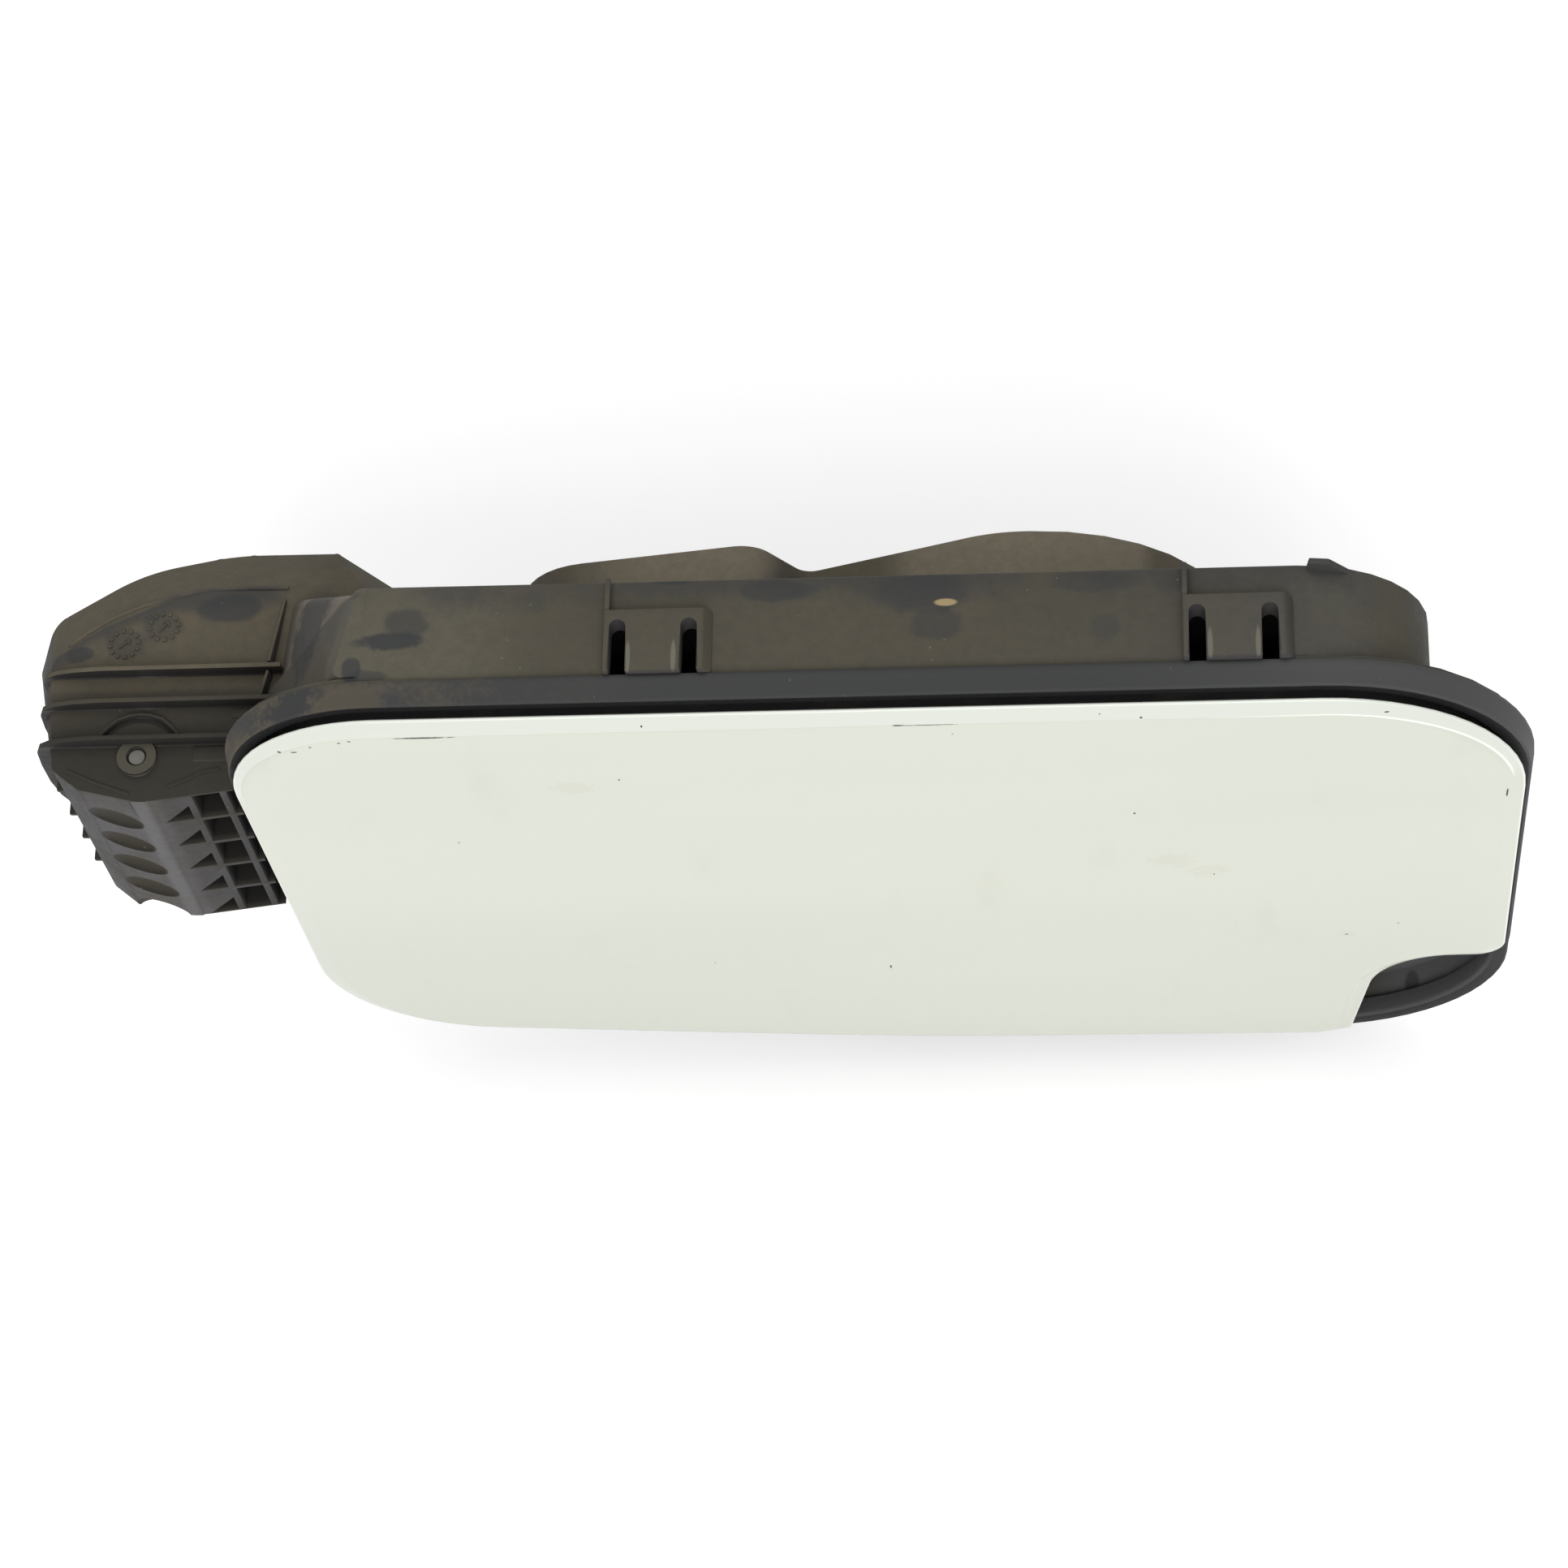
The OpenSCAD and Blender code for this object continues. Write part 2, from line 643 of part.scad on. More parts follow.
module flap_carrier() color([0.16, 0.16, 0.16]) {
    difference() {
        union() {
            difference() {
                front(door_corners, carrier_y, carrier_back + 2, -carrier_in);
                front(door_corners, carrier_back, carrier_back + 3, -carrier_in - 2);
            }
            translate([0, 0, hinge_z - neck_w / 2]) arm_side();
            difference() {
                carrier_ribs();
                for (p = stops) slab(carrier_y - 1, shelf_y) translate(p) circle(stop_r + 1);
            }
        }
        hinge_frame() translate([0, 0, hinge_z - hinge_h / 2]) cylinder(h = hinge_h, r = pin_r + 1.2);
        hinge_frame() translate([0, 0, hinge_z - 7]) difference() {
            cylinder(h = 14, r = 9);
            rotate([0, 0, leg_angle]) translate([6, -10, -1]) cube([20, 20, 16]);
        }
    }
}

module arm_bush(z0, z1) {
    hinge_frame() translate([0, 0, z0]) difference() {
        cylinder(h = z1 - z0, r = pin_r + 1.2 - 0.02);
        translate([0, 0, -1]) cylinder(h = z1 - z0 + 2, r = pin_r + 0.05);
    }
}

module arm_bush_upper() color([0.85, 0.83, 0.75]) arm_bush(hinge_z + 8, hinge_z + neck_w / 2);
module arm_bush_lower() color([0.85, 0.83, 0.75]) arm_bush(hinge_z - neck_w / 2, hinge_z - 8);

module latch_striker() color([0.12, 0.12, 0.12])
    translate([right - shelf_w - 10, 0, hinge_z]) difference() {
        union() {
            translate([-8, carrier_back + fit, -12]) cube([14, 2, 24]);
            translate([-2, carrier_back + fit, -8]) cube([5, hinge_y - carrier_back + 6, 16]);
        }
        translate([-10, hinge_y, 0]) rotate([0, 90, 0]) cylinder(h = 20, r = 4);
    }

module bump_stop(place) {
    translate([place.x, carrier_back + fit, place.y]) rotate([-90, 0, 0]) rotate_extrude()
        polygon([[0, 0], [stop_r, 0], [stop_r, 1.2], [stop_r - 1.4, 2], [stop_r - 2, stop_h - 0.4], [0, stop_h]]);
}

module bump_stop_upper() color([0.1, 0.1, 0.1]) bump_stop(stops[0]);
module bump_stop_lower() color([0.1, 0.1, 0.1]) bump_stop(stops[1]);
module bump_stop_hinge_upper() color([0.1, 0.1, 0.1]) bump_stop(stops[2]);
module bump_stop_hinge_lower() color([0.1, 0.1, 0.1]) bump_stop(stops[3]);

housing();
seal_lip();
hinge_pin();
fuel_neck_gasket();
additive_neck_gasket();
lock_bush();
hold_open_spring();
flap_skin();
flap_carrier();
arm_bush_upper();
arm_bush_lower();
latch_striker();
bump_stop_upper();
bump_stop_lower();
bump_stop_hinge_upper();
bump_stop_hinge_lower();
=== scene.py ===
"""Looks of a van's fuel door: painted flap, seal and dusty moulded housing.

Lengths in the fields of the sub-assemblies are millimetres in the frame of the CAD
model: +X away from the hinge, +Y into the vehicle, +Z up. Meshes are built in metres.
"""

from __future__ import annotations

import cmath
import logging
import math
from collections.abc import Iterable, Sequence
from dataclasses import dataclass
from enum import Enum
from functools import reduce

import bmesh
import bpy
from bmesh.types import BMesh
from bpy.types import Material, Node, NodeSocket, Object
from mathutils import Matrix, Vector

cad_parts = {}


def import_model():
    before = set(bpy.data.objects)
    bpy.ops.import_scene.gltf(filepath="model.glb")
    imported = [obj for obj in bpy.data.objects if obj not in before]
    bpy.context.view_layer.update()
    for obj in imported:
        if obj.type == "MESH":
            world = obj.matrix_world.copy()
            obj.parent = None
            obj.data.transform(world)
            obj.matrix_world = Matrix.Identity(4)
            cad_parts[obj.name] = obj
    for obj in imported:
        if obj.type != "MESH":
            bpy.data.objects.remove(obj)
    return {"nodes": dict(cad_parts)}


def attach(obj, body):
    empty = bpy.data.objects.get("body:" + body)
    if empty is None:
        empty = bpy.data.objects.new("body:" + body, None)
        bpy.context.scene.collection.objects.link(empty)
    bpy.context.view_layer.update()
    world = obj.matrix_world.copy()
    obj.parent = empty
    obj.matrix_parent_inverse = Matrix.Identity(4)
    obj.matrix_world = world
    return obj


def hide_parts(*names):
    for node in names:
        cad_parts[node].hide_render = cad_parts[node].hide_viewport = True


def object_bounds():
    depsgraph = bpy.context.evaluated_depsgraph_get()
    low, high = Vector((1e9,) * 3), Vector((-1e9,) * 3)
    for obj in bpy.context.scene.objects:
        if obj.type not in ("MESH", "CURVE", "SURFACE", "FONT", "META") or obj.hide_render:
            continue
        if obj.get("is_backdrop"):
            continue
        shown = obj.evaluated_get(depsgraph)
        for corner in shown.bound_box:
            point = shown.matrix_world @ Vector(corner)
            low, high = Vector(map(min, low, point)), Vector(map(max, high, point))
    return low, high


log = logging.getLogger("fuel_door")

MM = 0.001
LID_Z = 42.4  # top of the lid of the hinge compartment
Point = tuple[float, float]
Point3 = tuple[float, float, float]
Span = tuple[float, float]  # the places where a mask is 0 and where it is 1
Mark = tuple[float, float, float, float]  # x, z and the half lengths along them
Colour = tuple[float, float, float]


class Body(Enum):
    """The two bodies of the model."""

    HOUSING = "housing"
    FLAP = "flap"


class Signal:
    """A value socket whose operators add Math nodes."""

    def __init__(self, graph: NodeGraph, socket: NodeSocket) -> None:
        """Wraps one output socket.

        Args:
            graph: The node graph that the socket belongs to.
            socket: The output socket that carries the value.
        """
        self.graph = graph
        self.socket = socket

    def _math(self, operation: str, *values: Signal | float) -> Signal:
        """Adds one Math node.

        Args:
            operation: The Math node's operation.
            values: Its inputs in order.

        Returns:
            The node's result.
        """
        feeds = dict(enumerate(values))
        node = self.graph.node("ShaderNodeMath", {"operation": operation}, feeds)
        return Signal(self.graph, node.outputs[0])

    def __add__(self, other: Signal | float) -> Signal:
        """Returns self + other."""
        return self._math("ADD", self, other)

    def __radd__(self, other: Signal | float) -> Signal:
        """Returns other + self."""
        return self._math("ADD", other, self)

    def __sub__(self, other: Signal | float) -> Signal:
        """Returns self - other."""
        return self._math("SUBTRACT", self, other)

    def __rsub__(self, other: Signal | float) -> Signal:
        """Returns other - self."""
        return self._math("SUBTRACT", other, self)

    def __mul__(self, other: Signal | float) -> Signal:
        """Returns self * other."""
        return self._math("MULTIPLY", self, other)

    def __rmul__(self, other: Signal | float) -> Signal:
        """Returns other * self."""
        return self._math("MULTIPLY", other, self)

    def __truediv__(self, other: Signal | float) -> Signal:
        """Returns self / other."""
        return self._math("DIVIDE", self, other)

    def __pow__(self, other: Signal | float) -> Signal:
        """Returns self raised to other."""
        return self._math("POWER", self, other)

    def highest(self, other: Signal | float) -> Signal:
        """Returns the larger of self and other."""
        return self._math("MAXIMUM", self, other)

    def size(self) -> Signal:
        """Returns the absolute value."""
        return self._math("ABSOLUTE", self)

    def step(self, low: float, high: float) -> Signal:
        """Rises smoothly from 0 at low to 1 at high.

        Args:
            low: The value that gives 0.
            high: The value that gives 1; below low, the step falls instead.

        Returns:
            The smooth step.
        """
        settings = {"interpolation_type": "SMOOTHSTEP"}
        start, end = (low, high) if low < high else (high, low)
        first, last = (0.0, 1.0) if low < high else (1.0, 0.0)
        node = self.graph.node("ShaderNodeMapRange", settings, {
            "Value": self, "From Min": start, "From Max": end, "To Min": first, "To Max": last,
        })
        return Signal(self.graph, node.outputs["Result"])


Feed = Signal | NodeSocket | float | tuple


class NodeGraph:
    """The node tree of one material, with a Principled shader at its end."""

    def __init__(self, name: str, colour: Feed) -> None:
        """Starts a material.

        Args:
            name: The material's name.
            colour: The base colour that the others cover.
        """
        self.colour = colour
        self.material = bpy.data.materials.new(name)
        self.material.use_nodes = True
        self.tree = self.material.node_tree
        self.tree.nodes.clear()
        self.shader = self.node("ShaderNodeBsdfPrincipled")
        self.node("ShaderNodeOutputMaterial", {}, {"Surface": self.shader.outputs[0]})
        self.place = self.node("ShaderNodeTexCoord").outputs["Object"]

    def node(self, kind: str, settings: dict | None = None, feeds: dict | None = None) -> Node:
        """Adds a node.

        Args:
            kind: The node's type.
            settings: Its settings, such as an operation.
            feeds: Values or links for its input sockets, by name or number.

        Returns:
            The new node.
        """
        node = self.tree.nodes.new(kind)
        for name, value in (settings or {}).items():
            setattr(node, name, value)
        for name, value in (feeds or {}).items():
            self.feed(node.inputs[name], value)
        return node

    def feed(self, socket: NodeSocket, value: Feed) -> None:
        """Links or sets one input socket.

        Args:
            socket: The input socket.
            value: A signal, a socket, a number or a colour.
        """
        if isinstance(value, Signal):
            self.tree.links.new(value.socket, socket)
        elif isinstance(value, NodeSocket):
            self.tree.links.new(value, socket)
        elif isinstance(value, tuple) and len(value) == 3 and socket.type == "RGBA":
            socket.default_value = (*value, 1.0)
        else:
            socket.default_value = value

    def axes(self) -> tuple[Signal, Signal, Signal]:
        """Returns x, y and z of the place in the frame of the model, in millimetres."""
        parts = self.node("ShaderNodeSeparateXYZ", {}, {0: self.place})
        return tuple(Signal(self, parts.outputs[i]) * (1 / MM) for i in range(3))

    def facing(self) -> tuple[Signal, Signal, Signal]:
        """Returns x, y and z of the surface direction on the object."""
        parts = self.node("ShaderNodeSeparateXYZ", {}, {0: self.place.node.outputs["Normal"]})
        return tuple(Signal(self, parts.outputs[i]) for i in range(3))

    def noise(self, scale: float, detail: float = 3.0, stretch: Point3 = (1, 1, 1),
              rough: float = 0.55) -> Signal:
        """Adds a noise pattern.

        Args:
            scale: Features in each metre.
            detail: Number of finer layers.
            stretch: Factors on the three coordinates.
            rough: Weight of the finer layers.

        Returns:
            The pattern, from 0 to 1.
        """
        moved = self.node("ShaderNodeMapping", {}, {"Vector": self.place, "Scale": stretch})
        node = self.node("ShaderNodeTexNoise", {}, {
            "Vector": moved.outputs[0], "Scale": scale, "Detail": detail, "Roughness": rough,
        })
        return Signal(self, node.outputs["Fac"])

    def cells(self, scale: float) -> Signal:
        """Adds a pattern of random dots.

        Args:
            scale: Dots in each metre.

        Returns:
            The distance from the nearest dot, in cells.
        """
        node = self.node("ShaderNodeTexVoronoi", {}, {"Vector": self.place, "Scale": scale})
        return Signal(self, node.outputs["Distance"])

    def mix(self, factor: Feed, first: Feed, second: Feed) -> NodeSocket:
        """Mixes two colours.

        Args:
            factor: 0 for the first colour, 1 for the second.
            first: The first colour.
            second: The second colour.

        Returns:
            The mixed colour.
        """
        node = self.node("ShaderNodeMix", {"data_type": "RGBA"}, {"Factor": factor})
        self.feed(node.inputs[6], first)
        self.feed(node.inputs[7], second)
        return node.outputs[2]

    def cover(self, mask: Signal, colour: Feed) -> None:
        """Lays one more colour over the base colour.

        Args:
            mask: How much of it shows, from 0 to 1.
            colour: The colour.
        """
        self.colour = self.mix(mask, self.colour, colour)

    def bump(self, height: Signal, depth: float, strength: float = 1.0) -> None:
        """Turns a height into the shader's normal.

        Args:
            height: The height, from 0 to 1.
            depth: The depth of a height of 1, in metres.
            strength: Share of the effect.
        """
        feeds = {"Height": height, "Distance": depth, "Strength": strength}
        node = self.node("ShaderNodeBump", {}, feeds)
        self.feed(self.shader.inputs["Normal"], node.outputs[0])

    def finish(self, **feeds: Feed) -> Material:
        """Feeds the shader with the base colour and other values.

        Args:
            feeds: Values for the shader's sockets, with _ for each space.

        Returns:
            The finished material.
        """
        for name, value in {"Base_Color": self.colour, **feeds}.items():
            self.feed(self.shader.inputs[name.replace("_", " ")], value)
        return self.material


@dataclass(frozen=True)
class Blot:
    """A round patch of colour on a surface, in the frame of the model; the one in the finger cup is
    painted light, the others are stains.

    Args:
        place: Its centre.
        radii: Its half lengths along x, y and z.
        colour: Its colour.
        strength: How much of the surface's own colour it hides.
        ragged: How uneven its edge is.
        fade: Squared distance from the centre, in half lengths, where it ends and is whole.
    """

    place: Point3
    radii: Point3
    colour: Colour
    strength: float = 0.9
    ragged: float = 3.6
    fade: Span = (1.5, 0.55)

    def mask(self, graph: NodeGraph, uneven: Signal) -> Signal:
        """Returns 1 inside the stain and 0 outside.

        Args:
            graph: The material's node graph.
            uneven: Noise about 0 that makes the edge uneven.

        Returns:
            The mask.
        """
        x, y, z = ((axis - middle) / radius
                   for axis, middle, radius in zip(graph.axes(), self.place, self.radii))
        far = x * x + y * y + z * z
        return (far + uneven * self.ragged).step(*self.fade) * self.strength


@dataclass(frozen=True)
class DustyPlastic:
    """Dark moulded plastic under road dust, rubbed clean in places, with painted shade and painted
    highlights.
    """

    name: str = "dusty_plastic"
    clean: Colour = (0.028, 0.029, 0.031)
    dust: Colour = (0.064, 0.057, 0.041)
    brown: Colour = (0.086, 0.073, 0.050)
    hump: Colour = (0.165, 0.142, 0.103)
    pale: Colour = (0.105, 0.096, 0.070)
    grey: Colour = (0.052, 0.053, 0.050)
    rubbed: Colour = (0.034, 0.035, 0.036)
    front: Colour = (0.054, 0.051, 0.055)
    # painted highlight on the rounded front ridge of the hinge compartment
    ridge_highlight: Colour = (0.104, 0.102, 0.105)
    # painted highlight, partly wear, along the back edge of the shelf
    rim: Colour = (0.105, 0.105, 0.108)
    # dust in the scoops, darkened with painted shade
    scoop_dust_and_shade: Colour = (0.040, 0.036, 0.027)
    speck: Colour = (0.22, 0.20, 0.15)
    shade: Colour = (0.010, 0.0095, 0.009)
    blots: tuple[Blot, ...] = ()
    pin: Point = (-156.2, 14.4)
    boss: Span = (4.7, 4.1)
    ring_radius: float = 1.75
    arch_radius: float = 9.0
    arch_back: Span = (4.6, 5.6)
    ridge: Point = (-155.4, 4.2)
    slopes: tuple[float, float] = (-0.25, 0.125)
    scoops_from: Span = (-170.0, -168.6)
    scoops_to: Span = (-156.0, -158.0)
    cells_from: Span = (-153.0, -151.0)
    hollows_to: Span = (-131.5, -133.0)
    hollows_back: Span = (13.5, 12.5)
    arc_top: Point = (-132.0, 53.6)
    arc_bend: tuple[float, float] = (0.0032, 0.0000022)
    wall_back: Span = (29.0, 31.0)
    hump_z: Span = (45.0, 49.0)
    shelf_z: Span = (84.5, 86.0)

    def about_pin(self, graph: NodeGraph) -> None:
        """Colours the boss, paints shade in the ring round the pin and paints the shadow of the
        arch.

        Args:
            graph: The material's node graph.
        """
        x, y, z = graph.axes()
        lift, along, back = z - LID_Z, x - self.pin[0], y - self.pin[1]
        far = (along * along + back * back) ** 0.5
        boss = far.step(*self.boss) * lift.step(0.2, 0.5) * lift.step(1.8, 1.4)
        graph.cover(boss * 0.4, self.pale)
        # painted shade in the gap round the pin
        ring = (far - self.ring_radius).size().step(0.5, 0.2) * boss
        graph.cover(ring * 0.8, self.shade)
        arch = (far - self.arch_radius).size().step(1.0, 0.3) * back.step(*self.arch_back)
        graph.cover(arch * lift.step(0.9, 0.5) * 0.75, self.shade)

    def by_arc(self, graph: NodeGraph, uneven: Signal) -> None:
        """Colours the rubbed band inside the lid's curved back edge.

        Args:
            graph: The material's node graph.
            uneven: Noise about 0 that makes the band uneven.
        """
        x, y, z = graph.axes()
        lift, along = z - LID_Z, x - self.arc_top[0]
        square = along * along
        edge = self.arc_top[1] - square * self.arc_bend[0] - square * square * self.arc_bend[1]
        inside = edge - y + uneven * 3.0
        band = inside.step(5.5, 1.5) * inside.step(-1.2, -0.4) * x.step(-125.0, -131.0)
        graph.cover(band * lift.step(-0.8, -0.2) * lift.step(1.4, 0.9) * 0.7, self.rubbed)

    def compartment(self, graph: NodeGraph) -> None:
        """Colours the front, the fins, the end and the hollows of the hinge compartment, mostly
        with painted shade and a painted highlight.

        Args:
            graph: The material's node graph.
        """
        x, y, z = graph.axes()
        _, ahead, up = graph.facing()
        front = up.step(0.4, 0.1) * x.step(-128.0, -131.0)
        lift, over = z - LID_Z, x - self.ridge[0]
        # painted highlight along the front ridge
        graph.cover(over.size().step(2.6, 0.6) * front * 0.6, self.ridge_highlight)
        # painted shade on the right part of the front, which faces away from the light
        graph.cover(x.step(-152.5, -149.5) * front * 0.4, self.shade)
        # painted shade on the front sides of the fins
        fins = lift.step(0.4, 1.0) * x.step(-125.0, -126.5) * ahead.step(-0.4, -0.8)
        graph.cover(fins * 0.85, self.shade)
        # painted shade on the end wall of the compartment
        end_wall_shade = x.step(-167.0, -169.5) * up.step(0.75, 0.4) * z.step(44.0, 41.0)
        graph.cover(end_wall_shade * 0.6, self.shade)
        deep = [y - self.ridge[1] - over * slope for slope in self.slopes]
        near = y.step(*self.hollows_back) * x.step(*self.hollows_to) * lift.step(-0.6, -1.4)
        # dust darkened with painted shade in the scoops
        scoops = deep[0].step(0.25, 1.2) * x.step(*self.scoops_from) * x.step(*self.scoops_to)
        graph.cover(scoops * near * 0.75, self.scoop_dust_and_shade)
        # painted shade in the triangular hollows
        cells = deep[1].step(0.5, 1.6) * x.step(*self.cells_from)
        graph.cover(cells * near * 0.88, self.shade)

    def build(self) -> Material:
        """Returns the material."""
        graph = NodeGraph(self.name, self.front)
        x, y, z = graph.axes()
        up = graph.facing()[2]
        blotch = graph.noise(38, 4)
        fine = graph.noise(420, 4, rough=0.7)
        grain = graph.noise(2600, 2)
        uneven = graph.noise(150, 6, rough=0.62) - 0.5
        graph.cover(up.step(0.2, 0.7), self.clean)
        behind, high = y.step(*self.wall_back), z.step(80.0, 86.0)
        layer = graph.mix((blotch - 0.06 + behind * 0.35).step(0.5, 0.8), self.dust, self.brown)
        layer = graph.mix(behind * z.step(*self.hump_z) * 0.85, layer, self.hump)
        layer = graph.mix(x.step(10.0, 110.0) * high * 0.5, layer, self.grey)
        layer = graph.mix(x.step(-60.0, -85.0) * high * 0.5, layer, self.pale)
        thin = graph.mix(0.45, layer, self.clean)
        dusty = (up * 0.42 + blotch * 0.7 + fine * 0.5 - 0.32).step(0.12, 0.62)
        graph.cover(dusty, graph.mix(fine.step(0.3, 0.75) * 0.5, layer, thin))
        # painted shade, with some dirt, on the lid between and round the fins
        shade_by_fins = y.step(36.0, 16.0) * x.step(-122.0, -128.0) * up.step(0.3, 0.8)
        graph.cover(shade_by_fins * 0.65, self.shade)
        self.by_arc(graph, uneven)
        self.about_pin(graph)
        shelf = z.step(*self.shelf_z)
        back_edge = (y + uneven * 14.0).step(22.5, 28.5) * shelf * blotch.step(0.35, 0.6)
        graph.cover(back_edge * 0.6, self.rubbed)
        # painted highlight, partly wear, along the back edge of the shelf
        graph.cover(y.step(28.5, 29.1) * y.step(31.5, 31.0) * shelf * 0.5, self.rim)
        self.compartment(graph)
        for blot in self.blots:
            graph.cover(blot.mask(graph, uneven), blot.colour)
        graph.cover(graph.cells(190).step(0.055, 0.02) * 0.3, self.speck)
        graph.bump(grain * 0.5 + fine * dusty, 0.12 * MM)
        return graph.finish(Roughness=0.6 + dusty * 0.3, Specular_IOR_Level=0.25)


@dataclass(frozen=True)
class SealRubber:
    """Dark rubber of the seal, browned with dust at its hinge end, with a painted highlight towards
    its right end and painted shade on faces that look down or forward.
    """

    name: str = "seal_rubber"
    rubber: Colour = (0.0250, 0.0256, 0.0258)
    right_highlight: Colour = (0.048, 0.048, 0.048)
    dust: Colour = (0.074, 0.062, 0.043)
    # painted shade for faces that look down or forward
    under: Colour = (0.008, 0.008, 0.009)
    speck: Colour = (0.2, 0.19, 0.16)
    dusty_x: Span = (0.0, -100.0)
    highlight_x: Span = (40.0, 128.0)

    def build(self) -> Material:
        """Returns the material."""
        graph = NodeGraph(self.name, self.rubber)
        x, _, _ = graph.axes()
        _, ahead, up = graph.facing()
        blotch = graph.noise(60, 4)
        fine = graph.noise(900, 3)
        near_hinge = (x + blotch * 70).step(*self.dusty_x)
        dusty = near_hinge * (fine * 0.35 + blotch).step(0.58, 0.78)
        # painted highlight, growing towards the right end of the seal
        graph.cover(x.step(*self.highlight_x), self.right_highlight)
        graph.cover(dusty, self.dust)
        graph.cover(graph.cells(260).step(0.06, 0.02) * 0.35, self.speck)
        # painted shade on faces that look down or forward, where the flap shades the lip
        graph.cover(up.step(0.25, -0.1).highest(ahead.step(-0.8, -0.95)), self.under)
        graph.bump(fine, 0.06 * MM)
        return graph.finish(Roughness=0.62 + dusty * 0.25, Specular_IOR_Level=0.3)


@dataclass(frozen=True)
class FlapPaint:
    """Pale ivory-green gloss paint with fine marks and chips, and painted highlights and shade
    along its edges.
    """

    name: str = "flap_paint"
    paint: Colour = (0.484, 0.500, 0.428)
    shade: Colour = (0.464, 0.484, 0.418)
    # painted highlight on the band outside the fine line
    band: Colour = (0.530, 0.556, 0.510)
    painted_highlight: Colour = (0.82, 0.84, 0.78)
    chip: Colour = (0.045, 0.042, 0.038)
    # grime, and painted shade along the fine line
    grime_and_shade: Colour = (0.42, 0.41, 0.33)
    scratches: tuple[Mark, ...] = ()
    scuffs: tuple[Mark, ...] = ()
    # The line's corners: side of the flap, start of the bend in x, its width and its height.
    corners: tuple[Mark, ...] = ((1.0, 90.0, 39.9, 37.3), (-1.0, 99.0, 30.9, 28.3))
    line_z: float = 83.3
    upper_z: Span = (50.0, 57.0)

    def marks(self, graph: NodeGraph, places: Sequence[Mark], uneven: Signal) -> Signal:
        """Finds the listed marks.

        Args:
            graph: The material's node graph.
            places: The marks.
            uneven: Noise that breaks the marks up.

        Returns:
            Their mask.
        """
        x, _, z = graph.axes()
        masks = []
        for mark_x, mark_z, half_x, half_z in places:
            along, across = (x - mark_x) / half_x, (z - mark_z) / half_z
            masks.append((along * along + across * across + uneven).step(1.25, 0.7))
        return reduce(Signal.highest, masks)

    def past_line(self, graph: NodeGraph) -> Signal:
        """Measures how far a place lies outside the fine line along the upper edge.

        Args:
            graph: The material's node graph.

        Returns:
            The distance in millimetres, below 0 inside the line.
        """
        x, _, z = graph.axes()
        past = []
        for side, start, wide, tall in self.corners:
            over = (x * side - start).highest(0.0) / wide
            rise = (z - (self.line_z - tall)).highest(0.0) / tall
            past.append(((over * over + rise * rise) ** 0.5 - 1) * tall)
        return reduce(Signal.highest, past)

    def build(self) -> Material:
        """Returns the material."""
        graph = NodeGraph(self.name, self.paint)
        x, _, z = graph.axes()
        _, ahead, up = graph.facing()
        cloud = graph.noise(9, 2, stretch=(0.4, 1, 1.6))
        peel = graph.noise(420, 2)
        fine = graph.noise(900, 4) - 0.5
        film = graph.noise(70, 5, stretch=(1, 1, 0.35)).step(0.58, 0.8)
        specks = graph.cells(75).step(0.026, 0.012) * graph.noise(30, 2).step(0.48, 0.6)
        graph.cover(cloud.step(0.3, 0.75), self.shade)
        graph.cover(film * 0.06, self.grime_and_shade)
        past, upper = self.past_line(graph), z.step(*self.upper_z)
        # painted highlight on the band outside the fine line
        graph.cover(past.step(-0.1, 0.3) * upper * 0.7, self.band)
        line = past.size().step(0.34, 0.1) * upper
        # painted highlight on the fine line towards the right corner
        graph.cover(line * x.step(60.0, 100.0) * 0.65, self.painted_highlight)
        # painted shade along the fine line towards the left
        graph.cover(line * x.step(70.0, 20.0) * 0.3, self.grime_and_shade)
        # painted highlight along the rolled edge, strongest on the sides and bottom
        rolled = ahead.step(-0.93, -0.8) * ahead.step(0.3, 0.0)
        graph.cover(rolled * (up.step(0.35, -0.1) * 0.6 + 0.15), self.painted_highlight)
        graph.cover(self.marks(graph, self.scuffs, fine * 5) * 0.3, self.grime_and_shade)
        hurt = specks.highest(self.marks(graph, self.scratches, fine * 2.2))
        graph.cover(hurt, self.chip)
        graph.bump(peel * 0.35 + (1 - hurt) * 0.8, 0.04 * MM, 0.5)
        return graph.finish(
            Roughness=0.34 + film * 0.2 + hurt * 0.3,
            Coat_Weight=0.35 - hurt * 0.3, Coat_Roughness=0.12,
        )


@dataclass(frozen=True)
class MouldedPlastic:
    """Fine-grained moulded plastic or rubber with a little dirt in patches."""

    name: str
    colour: Colour
    dirt: Colour = (0.09, 0.08, 0.062)
    rough: float = 0.55
    amount: float = 0.4

    def build(self) -> Material:
        """Returns the material."""
        graph = NodeGraph(self.name, self.colour)
        dirty = graph.noise(70, 4).step(0.5, 0.75) * self.amount
        graph.cover(dirty, self.dirt)
        graph.bump(graph.noise(2400, 2), 0.08 * MM)
        return graph.finish(Roughness=self.rough + dirty * 0.3)


